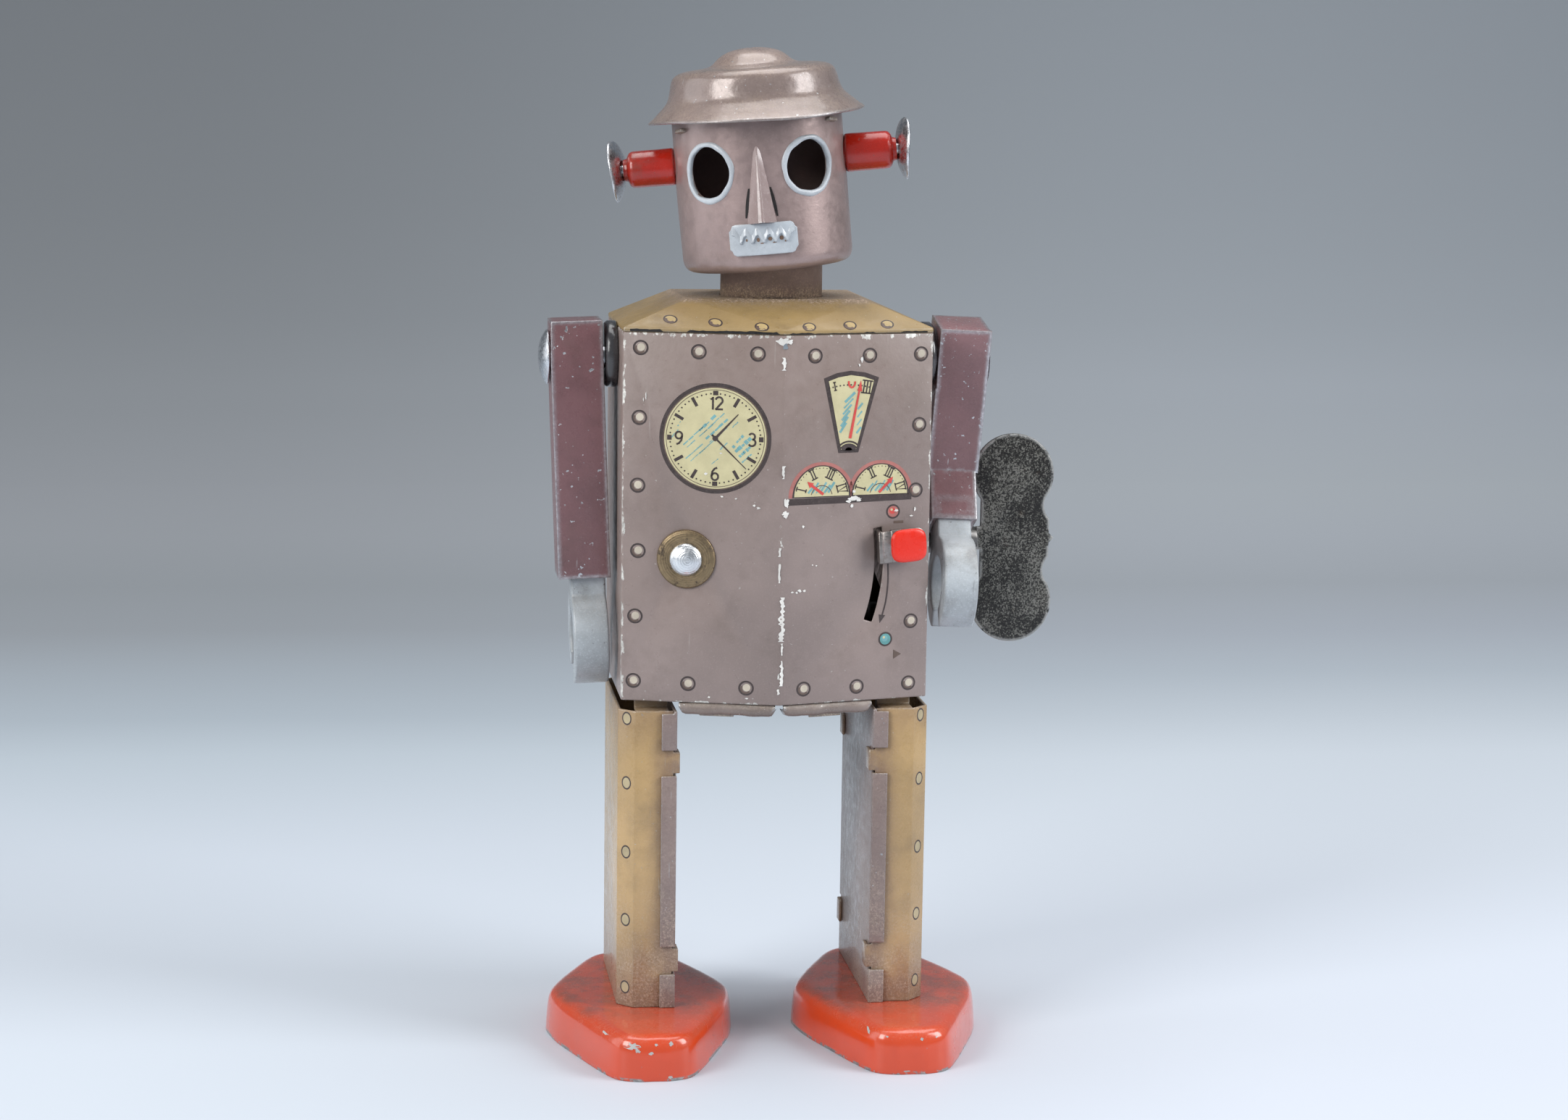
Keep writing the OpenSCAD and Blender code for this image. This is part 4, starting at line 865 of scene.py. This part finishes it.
def ring_piece(name, u0, mat, prof2, n=96):
    """A thin painted eye rim wrapped round the head can."""
    bm = bmesh.new()
    rows = []
    for i in range(n):
        t = 2 * math.pi * i / n
        k = 1 + 0.012 * math.sin(2 * t + u0) + 0.008 * math.sin(5 * t + 1) + 0.005 * math.sin(11 * t)
        w = 1 + 0.10 * math.sin(3 * t + u0) + 0.08 * math.sin(7 * t)
        row = []
        for r, h in prof2:
            rr = 3.48 * k + (r - 3.48) * w
            row.append(bm.verts.new(can_pt(u0 + rr * math.cos(t), EYE_Z + rr * math.sin(t), h)))
        rows.append(row)
    for i in range(n):
        a1, b1 = rows[i], rows[(i + 1) % n]
        for k in range(len(prof2)):
            q = (k + 1) % len(prof2)
            bm.faces.new([a1[k], b1[k], b1[q], a1[q]])
    bmesh.ops.recalc_face_normals(bm, faces=bm.faces)
    return put(name, bm, "torso", mat, sharp=60)


eye_prof = [(3.14, -0.30), (3.12, 0.02), (3.18, 0.15), (3.30, 0.22), (3.48, 0.23), (3.66, 0.17), (3.79, 0.05), (3.84, -0.15), (3.5, -0.35)]
ring_piece("eye_rim_right", -6.786, M_silver, eye_prof)
ring_piece("eye_rim_left", 6.786, M_silver, eye_prof)


def bent_plate(name, outline, r0, r1, zc, mat, crown=0.0):
    """A flat outline wrapped round the head can."""
    bm = bmesh.new()
    layers = []
    for sc, r in ((1.0, r0), (1.0, r1 - 0.12), (0.985, r1 - 0.03), (0.95, r1), (0.75, r1 + crown * 0.5), (0.4, r1 + crown), (0.0, r1 + crown)):
        row = []
        for u, v in (outline if sc else [(0, 0)]):
            a = u * sc / 10.8
            row.append(bm.verts.new(HEAD @ Vector((r * math.sin(a), -r * math.cos(a), HZ + zc + v * sc))))
        layers.append(row)
    n = len(outline)
    for a, b in zip(layers, layers[1:]):
        for i in range(n):
            j = (i + 1) % n
            if len(b) == 1:
                bm.faces.new([a[i], a[j], b[0]])
            else:
                bm.faces.new([a[i], a[j], b[j], b[i]])
    bmesh.ops.recalc_face_normals(bm, faces=bm.faces)
    return bm


def mouth():
    o = [(-3.4, 1.95), (3.4, 1.95), (3.75, 1.75), (3.95, 1.3), (4.2, 1.1), (4.2, -1.1), (4.0, -1.35), (3.75, -1.8), (3.4, -1.95), (-3.4, -1.95), (-3.75, -1.75), (-3.95, -1.3), (-4.2, -1.1), (-4.2, 1.1), (-3.95, 1.35), (-3.75, 1.8)]
    dense = []
    for i, p in enumerate(o):
        q = o[(i + 1) % len(o)]
        k = max(1, int(math.hypot(q[0] - p[0], q[1] - p[1]) / 0.3))
        dense += [(p[0] + (q[0] - p[0]) * t / k, p[1] + (q[1] - p[1]) * t / k) for t in range(k)]
    bm = bent_plate("mouth", dense, 10.4, 11.28, 4.15, M_mouth)
    put("mouth_plate", bm, "torso", M_mouth, sharp=40)
    # the row of teeth: a raised zigzag with dark slits below it
    bm = bmesh.new()

    def wrap(u, v, r):
        a = u / 10.8
        return HEAD @ Vector((r * math.sin(a), -r * math.cos(a), HZ + 4.15 + v))
    zig = [(-3.7, 0.75)]
    for i in range(5):
        x0 = -3.35 + i * 1.38
        zig += [(x0, 0.62), (x0 + 0.28, 0.10), (x0 + 0.52, -0.34), (x0 + 0.70, -0.36), (x0 + 0.92, 0.08), (x0 + 1.12, 0.50)]
    zig += [(3.75, 0.75)]
    for wd, r, mi in ((0.30, 11.30, 0),):
        rows = []
        for i, (u, v) in enumerate(zig):
            rows.append([bm.verts.new(wrap(u, v + 0.95, r - 0.05)), bm.verts.new(wrap(u, v + 0.16, r + 0.24)), bm.verts.new(wrap(u, v - 0.02, r + 0.26)), bm.verts.new(wrap(u, v - 0.16, r - 0.04))])
        for a, b in zip(rows, rows[1:]):
            for k in range(3):
                bm.faces.new([a[k], b[k], b[k + 1], a[k + 1]])
    put("mouth_teeth", bm, "torso", M_mouth, sharp=50)
    bm = bmesh.new()
    for u, v, w, hgt in ((-0.62, -0.05, 0.20, 0.26), (0.78, -0.02, 0.26, 0.24), (2.15, 0.0, 0.26, 0.28), (2.62, -0.42, 0.14, 0.12), (-2.0, -0.02, 0.12, 0.18), (-0.2, -0.50, 0.22, 0.08), (1.3, -0.48, 0.26, 0.08)):
        cv = bm.verts.new(wrap(u, v, 11.31))
        vs = [bm.verts.new(wrap(u + w * math.cos(t * 0.7854), v + hgt * math.sin(t * 0.7854), 11.305)) for t in range(8)]
        for i in range(8):
            bm.faces.new([cv, vs[i], vs[(i + 1) % 8]])
    put("mouth_slits", bm, "torso", ink("ink_slit", (0.20, 0.12, 0.08)), sharp=None)


mouth()


def nose():
    bm = bmesh.new()
    rows = []
    n = 15
    for i in range(n):
        t = i / (n - 1)
        v = 15.5 - 9.25 * t
        w = 0.30 + 1.58 * t ** 0.9
        p = 0.10 + 1.85 * t ** 0.85
        if i == 0:
            w, p = 0.12, 0.0
        cross = [(-1.0, -0.30), (-0.97, 0.08), (-0.66, 0.44), (-0.34, 0.84), (-0.22, 1.02), (0.0, 1.08), (0.16, 1.04), (0.26, 0.90), (0.60, 0.48), (0.96, 0.08), (1.0, -0.30)]
        rows.append([bm.verts.new(HEAD @ Vector((u * w, -math.sqrt(10.8 ** 2 - (u * w) ** 2) + 0.12 - max(-0.3, q) * p - 0.05, HZ + v - 0.25 * abs(u) * t))) for u, q in cross])
    for a, b in zip(rows, rows[1:]):
        for k in range(len(a) - 1):
            bm.faces.new([a[k], a[k + 1], b[k + 1], b[k]])
    bm.faces.new(rows[-1])
    bm.faces.new(rows[0][::-1])
    bmesh.ops.recalc_face_normals(bm, faces=bm.faces)
    put("nose_ridge", bm, "torso", M_nose, sharp=18)
    # the two dark slits the ridge is tucked into, and the hat's tuck-in tabs
    bm = bmesh.new()
    for s in (-1, 1):
        pts = []
        for i in range(9):
            t = i / 8
            v = 10.4 - 3.6 * t
            uc = s * (1.32 + 0.62 * t)
            w = 0.10 + 0.12 * math.sin(math.pi * t)
            pts.append([HEAD @ Vector((10.84 * math.sin((uc + d) / 10.8), -10.84 * math.cos((uc + d) / 10.8), HZ + v)) for d in (-w, w)])
        vs = [[bm.verts.new(q) for q in pr] for pr in pts]
        for a, b in zip(vs, vs[1:]):
            bm.faces.new([a[0], a[1], b[1], b[0]])
    put("nose_slits", bm, "torso", ink("ink_gap", (0.012, 0.009, 0.008), fade=0.05), sharp=None)
    for nm, s in (("right", -1), ("left", 1)):
        bm = bmesh.new()
        bmesh.ops.create_cube(bm, size=1.0)
        bmesh.ops.scale(bm, vec=(1.7, 0.9, 0.42), verts=bm.verts)
        bmesh.ops.bevel(bm, geom=list(bm.edges), offset=0.10, segments=2, profile=0.5, affect="EDGES")
        bm.transform(HEAD @ rotz(s * 58) @ tr(0, -11.0, HZ + 17.9) @ rotx(-12) @ roty(10 * s))
        put("hat_tab_" + nm, bm, "torso", M_plate, sharp=40)


nose()

for side, s in (("right", -1), ("left", 1)):
    # the rolled tube, with its lap seam underneath and a turned-in end
    bm = bmesh.new()
    te = HEAD @ tr(0, 0, HZ + 13.4) @ roty(90 * s)
    lathe(bm, [(1.3, 10.1), (1.95, 10.15)] + spline([(2.05, 10.72), (2.30, 10.85), (2.38, 11.2), (2.36, 12.6), (2.34, 14.4), (2.33, 15.7), (2.28, 16.15), (2.10, 16.45), (1.85, 16.62)], 3) + [(1.5, 16.75), (1.35, 17.25), (0, 17.28)], te, 72,
          wob=lambda a, r, z, s=s: (r * (1 + 0.018 * math.sin(2 * a + s) + (0.02 if math.cos(a - 0.9 * s) > 0.965 else 0.0)), z))
    ob = put("ear_tube_skin_" + side, bm, "torso", M_ear, sharp=38)
    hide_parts("ear_tube_" + side)
    # the thin stamped cup, a little bent
    bm = bmesh.new()
    pr = [(0, 0.62), (0.9, 0.60), (1.5, 0.66), (2.0, 0.86), (2.7, 1.12), (3.25, 1.36), (3.6, 1.58), (3.86, 1.50), (3.9, 1.36), (3.75, 1.18), (3.2, 0.86), (2.6, 0.62), (1.9, 0.42), (1.5, 0.36), (0.72, 0.34), (0.72, 0.0), (0, 0.0)]
    pr = spline(pr[:15], 3) + pr[15:]

    def cup(a, r, z, s=s):
        k = (r / 3.9) ** 3
        return r * (1 - 0.012 * math.sin(3 * a)), z + k * (0.26 * math.sin(2 * a + (0.8 if s > 0 else 2.2)) - 0.16)
    m = HEAD @ tr(0, 0, HZ + 13.4) @ roty(90 * s) @ tr(0, 0, 17.0) @ rotx(-9.0) @ roty(2.0 * s)
    lathe(bm, pr, m, 72, wob=cup)
    ob = put("ear_cup_" + side, bm, "torso", M_disc, sharp=50)
    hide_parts("ear_disc_" + side)

# ------------------------------------------------------------------ lever, washer, rivets
PV = (-11.55, 63.25)
LP = tr(PV[0], -11 - PV[0] * KV, PV[1]) @ rotz(-math.degrees(BETA)) @ rotx(90)
bm = bmesh.new()
lathe(bm, spline([(1.78, 0.0), (1.78, 0.30), (1.9, 0.40), (2.4, 0.46), (3.0, 0.45), (3.45, 0.38), (3.66, 0.22), (3.68, 0.0)], 3), LP, 96)
ob = put("washer_brass", bm, "torso", M_brass, sharp=50)
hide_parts("lever_washer")
bm = bmesh.new()
lathe(bm, [(1.4, -5.0), (1.4, 0.3)] + spline([(1.98, 0.40), (2.05, 0.50), (1.98, 0.72), (1.7, 1.02), (1.25, 1.30), (0.7, 1.45), (0, 1.50)], 4), LP, 96)
ob = put("washer_rivet_dome", bm, "torso", M_rivet_lever, sharp=50)
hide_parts("lever_rivet")
bm = bmesh.new()
for s in (-1, 1):
    m = tr(s * 28.02, 4, 87.3) @ roty(90 * s)
    k = 1.0 if s < 0 else 0.12
    lathe(bm, [(1.4, -9.5), (1.4, -0.2)] + spline([(3.30, -0.02), (3.42, 0.10 * k), (3.38, 0.28 * k), (3.0, 0.56 * k), (2.3, 0.92 * k), (1.3, 1.20 * k), (0, 1.28 * k)], 4), m, 72)
ob = put("shoulder_rivet_domes", bm, "torso", M_rivet, sharp=50)
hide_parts("shoulder_rivets")
refine("shoulder_spacers", "torso", M_black, width=0.0, dissolve=0, name="shoulder_collars")
refine("stop_lever", "stop_lever", M_lever, width=0.08, seg=2, clamp=False, ang=40, name="stop_lever_strip")
# the lacquered finger tab over the lever's end
bm = bmesh.new()
tabm = tr(PV[0], 0, PV[1]) @ roty(-3.4) @ tr(24.08, -9.6, 0) @ rotz(math.degrees(BETA)) @ tr(3.95, -0.1, 0)
n = 64
rows = []
for sc, y in ((1.0, 0.30), (1.02, 0.05), (1.02, -0.18), (0.99, -0.36), (0.93, -0.47), (0.80, -0.53), (0.5, -0.56), (0.0, -0.57)):
    row = []
    for i in range(n if sc else 1):
        a = 2 * math.pi * i / n
        c, d = math.cos(a), math.sin(a)
        e = 2 / 3.7
        row.append(bm.verts.new(tabm @ Vector((2.32 * sc * math.copysign(abs(c) ** e, c), y, 2.04 * sc * math.copysign(abs(d) ** e, d)))))
    rows.append(row)
for a, b in zip(rows, rows[1:]):
    for i in range(n):
        j = (i + 1) % n
        bm.faces.new([a[i], a[j], b[0]] if len(b) == 1 else [a[i], a[j], b[j], b[i]])
bm.faces.new(rows[0][::-1])
bmesh.ops.recalc_face_normals(bm, faces=bm.faces)
put("lever_tab", bm, "stop_lever", M_tab, sharp=45)

# ------------------------------------------------------------------ arms and claws
for side, s in (("right", -1), ("left", 1)):
    # The left arm takes the lighter, painted-light copy of the plum paint.
    refine("arm_" + side, side + "_arm", M_plum if s < 0 else M_plum_lit, width=0.42, seg=4, clamp=True, ang=30, name="arm_casting_" + side, dissolve=1.0)
    refine("claw_" + side, side + "_arm", M_claw, width=0.26, seg=3, clamp=True, ang=35, name="claw_casting_" + side, dissolve=1.0)

# ------------------------------------------------------------------ legs and feet
for side, s in (("right", -1), ("left", 1)):
    refine("leg_channel_" + side, side + "_leg", M_leg, width=0.12, seg=2, clamp=False, ang=20, name="leg_channel_sheet_" + side)
    refine("leg_plate_" + side, side + "_leg", M_legin, width=0.11, seg=2, clamp=False, ang=30, name="leg_plate_sheet_" + side)
    bm = bmesh.new()
    half = [(2.3, -20.30), (4.75, -19.0), (6.75, -15.0), (9.0, -9.1), (11.0, -3.5), (11.95, 0.9), (11.9, 3.9), (10.55, 8.0), (8.45, 12.8), (6.35, 17.2), (4.6, 19.28), (2.3, 20.08)]
    ctrl = [(0.0, -20.36)] + half + [(0.0, 20.20)] + [(-x, y) for x, y in reversed(half)]
    base2 = spline(ctrl, 9, close=True)
    N = len(base2)
    nrm = []
    for i in range(N):
        (ax, ay), (bx, by) = base2[i - 1], base2[(i + 1) % N]
        L = math.hypot(bx - ax, by - ay)
        nrm.append(((by - ay) / L, -(bx - ax) / L))

    def outline(inset, z):
        return [Vector((s * 16.07 + x - nx * inset, y - ny * inset, z)) for (x, y), (nx, ny) in zip(base2, nrm)]
    lay = [(0.45, 0.0), (0.03, 0.02), (0.0, 0.16), (0.03, 0.8), (0.10, 1.8), (0.18, 2.9), (0.28, 3.8), (0.42, 4.4), (0.62, 4.85), (0.92, 5.18), (1.3, 5.40), (1.75, 5.53), (2.2, 5.58)]
    rows = [[bm.verts.new(p) for p in outline(i, z)] for i, z in lay]
    base = outline(2.2, 5.59)
    c = Vector((s * 16.07, 0, 5.6))
    for f in (0.9, 0.7, 0.4, 0.15):
        rows.append([bm.verts.new(c + (p - c) * f) for p in base])
    for a, b in zip(rows, rows[1:]):
        for i in range(N):
            j = (i + 1) % N
            bm.faces.new([a[i], a[j], b[j], b[i]])
    cv = bm.verts.new(c)
    for i in range(N):
        bm.faces.new([rows[-1][i], rows[-1][(i + 1) % N], cv])
    bmesh.ops.remove_doubles(bm, verts=bm.verts, dist=0.002)
    bmesh.ops.recalc_face_normals(bm, faces=bm.faces)
    ob = put("foot_pressing_" + side, bm, side + "_leg", M_foot, sharp=50)
    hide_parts("foot_" + side)
    P = Print(caster(ob))
    rnd = random.Random(21 + s)
    spots = ((-18.9, 4.35, 0.95, 0.42), (-18.2, 3.9, 0.35, 0.3), (-16.6, 3.5, 0.34, 0.24), (-15.9, 4.55, 0.22, 0.16), (-14.1, 4.6, 0.30, 0.26), (-21.9, 4.9, 0.35, 0.15), (-14.2, 0.5, 0.3, 0.2)) if s < 0 else \
            ((13.0, 4.7, 0.16, 0.12), (17.3, 4.4, 0.2, 0.2), (11.0, 4.9, 0.12, 0.4), (19.2, 4.5, 0.14, 0.12), (15.4, 0.45, 0.5, 0.12))
    for cx, cz, rx, rz in spots:
        P.fan((cx, cz), [(cx + rx * rnd.uniform(0.5, 1.25) * math.cos(math.pi * q / 8), cz + rz * rnd.uniform(0.5, 1.25) * math.sin(math.pi * q / 8)) for q in range(16)], I_bare, 0.02)
    P.make("foot_chips_" + side, side + "_leg")

# ------------------------------------------------------------------ key
refine("key_grip", "key", M_key, width=0.22, seg=3, clamp=True, ang=35, name="key_plate", dissolve=1.0)

# the arbor's end, seen a little shorter so the hand covers it
bm = bmesh.new()
lathe(bm, [(0, -11.4), (1.1, -11.4), (1.2, -11.3), (1.2, 11.6), (1.5, 11.6), (1.5, 21.2), (1.95, 21.2), (1.95, 22.2), (1.5, 22.2), (1.5, 27.9), (1.38, 28.1), (0, 28.12)], tr(0, 7.6, 63.4) @ roty(90), 48)
ob = put("key_shaft", bm, "key", M_pin, sharp=40)
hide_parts("key_arbor")

# ------------------------------------------------------------------ the works keep their CAD shape
WORKS = {"frame_right": M_steel, "frame_left": M_steel, "pillars": M_steel, "mainspring": M_spring, "hip_pins": M_pin, "sole_right": M_sole, "sole_left": M_sole, "leg_link_right": M_steel,
         "leg_link_left": M_steel, "great_wheel": M_brassin, "ratchet_wheel": M_steel, "click": M_steel, "crank_arbor": M_pin, "crank_wheel": M_brassin, "crank_disc_right": M_steel,
         "crank_disc_left": M_steel, "governor_arbor": M_pin, "governor_rotor": M_brassin}
for nd, ob in NODES.items():
    if not ob.hide_render:
        m = WORKS.get(nd, M_steel)
        ob.data.materials.clear()
        ob.data.materials.append(m)

# ------------------------------------------------------------------ stage, light, camera
def stage():
    bm = bmesh.new()
    W = 3.0
    prof = [(-1.2, 0.0), (-0.4, 0.0), (0.0, 0.0), (0.3, 0.0), (0.55, 0.0)]
    R, y0 = 0.9, 0.55
    for i in range(1, 13):
        a = math.pi / 2 * i / 12
        prof.append((y0 + R * math.sin(a), R - R * math.cos(a)))
    prof.append((y0 + R, 2.5))
    rows = [[bm.verts.new((x, y, z)) for x in (-W, W)] for y, z in prof]
    for a, b in zip(rows, rows[1:]):
        bm.faces.new([a[0], a[1], b[1], b[0]])
    bmesh.ops.recalc_face_normals(bm, faces=bm.faces)
    me = bpy.data.meshes.new("paper_sweep")
    bm.to_mesh(me)
    bm.free()
    me.shade_smooth()
    ob = bpy.data.objects.new("paper_sweep", me)
    bpy.context.scene.collection.objects.link(ob)
    t = Tree("paper")
    x, y, z = t.xyz()
    f = t.ramp(y, -100.0, 900.0)
    wob = t.mul(t.math("SUBTRACT", t.noise(0.004, 2.0), 0.5), 0.03)
    g = t.math("ADD", f, wob)

    def grade(stops):
        cr = t.add("ShaderNodeValToRGB", {0: g})
        el = cr.color_ramp.elements
        el[0].position, el[0].color = stops[0][0], (*stops[0][1], 1)
        el[1].position, el[1].color = stops[-1][0], (*stops[-1][1], 1)
        for p, c in stops[1:-1]:
            e = el.new(p)
            e.color = (*c, 1)
        return cr.outputs[0]
    # Painted light: the backdrop colour falls off with depth, darkest in the middle distance, and is brighter toward
    # the right, standing in for how the lamps light the paper.
    left = grade(((0.0, (0.54, 0.585, 0.645)), (0.10, (0.50, 0.545, 0.605)), (0.18, (0.43, 0.485, 0.535)), (0.22, (0.365, 0.414, 0.46)), (0.28, (0.331, 0.37, 0.409)),
                  (0.354, (0.292, 0.314, 0.34)), (0.443, (0.295, 0.316, 0.338)), (0.561, (0.35, 0.369, 0.394)), (0.706, (0.393, 0.411, 0.437)), (0.894, (0.393, 0.413, 0.435)), (1.0, (0.36, 0.378, 0.397))))
    right = grade(((0.0, (0.565, 0.60, 0.67)), (0.09, (0.535, 0.575, 0.63)), (0.166, (0.51, 0.555, 0.605)), (0.21, (0.453, 0.498, 0.545)), (0.268, (0.389, 0.433, 0.479)),
                   (0.338, (0.363, 0.394, 0.439)), (0.431, (0.36, 0.387, 0.419)), (0.55, (0.444, 0.474, 0.512)), (0.704, (0.538, 0.574, 0.606)), (0.9, (0.593, 0.632, 0.677)), (1.0, (0.56, 0.60, 0.64))))
    across = t.math("DIVIDE", t.math("ADD", x, 52.9), t.math("ADD", y, 394.0))
    backdrop_falloff_color = t.mix(t.ramp(across, -0.06, 0.33), left, right)
    t.nt.links.new(backdrop_falloff_color, t.bsdf.inputs["Base Color"])
    t.bsdf.inputs["Roughness"].default_value = 0.55
    t.bsdf.inputs["Specular IOR Level"].default_value = 0.25
    finish_bump(t, t.noise(0.6, 3.0), 0.05, 0.1)
    me.materials.append(t.mat)
    return ob


stage()


def area(name, loc, target, size, power, color=(1, 1, 1), size_y=None):
    L = bpy.data.lights.new(name, "AREA")
    L.energy = power
    L.color = color
    L.size = size
    if size_y:
        L.shape = "RECTANGLE"
        L.size_y = size_y
    ob = bpy.data.objects.new(name, L)
    bpy.context.scene.collection.objects.link(ob)
    ob.location = loc
    d = Vector(target) - Vector(loc)
    ob.rotation_euler = d.to_track_quat("-Z", "Y").to_euler()
    return ob


area("key_softbox", (-0.44, -0.30, 0.34), (0, 0, 0.08), 0.26, 2.55, (1.0, 0.99, 0.97), 0.34)
area("side_softbox", (0.46, -0.20, 0.34), (0, 0, 0.08), 0.26, 2.75, (0.98, 0.99, 1.0), 0.38)
area("top_softbox", (0.05, 0.10, 0.72), (0, 0, 0.0), 0.60, 3.1, (1.0, 1.0, 1.0), 0.50)
area("left_panel", (-0.60, 0.10, 0.28), (0, 0, 0.07), 0.40, 1.0, (0.96, 0.98, 1.0), 0.55)

world = bpy.data.worlds.new("studio")
bpy.context.scene.world = world
world.use_nodes = True
bg = world.node_tree.nodes["Background"]
bg.inputs[0].default_value = (0.86, 0.92, 1.0, 1)
bg.inputs[1].default_value = 0.33
bpy.context.scene.view_settings.view_transform = "Standard"

cam_data = bpy.data.cameras.new("camera")
cam = bpy.data.objects.new("camera", cam_data)
bpy.context.scene.collection.objects.link(cam)
bpy.context.scene.camera = cam
cam_data.sensor_width = 36.0
cam_data.sensor_fit = "HORIZONTAL"
cam_data.lens = 72.53
cam_data.clip_start = 0.01
cam_data.clip_end = 20.0
az, pit, roll = 0.138, 0.153, 0.015
f = Vector((math.sin(az) * math.cos(pit), math.cos(az) * math.cos(pit), -math.sin(pit)))
r = Vector((math.cos(az), -math.sin(az), 0))
u = r.cross(f)
r2 = math.cos(roll) * r + math.sin(roll) * u
u2 = -math.sin(roll) * r + math.cos(roll) * u
cam.matrix_world = Matrix(((r2.x, u2.x, -f.x, -0.05287 + ORG.x * MM), (r2.y, u2.y, -f.y, -0.39378 + ORG.y * MM), (r2.z, u2.z, -f.z, 0.12310), (0, 0, 0, 1)))

bpy.context.view_layer.update()
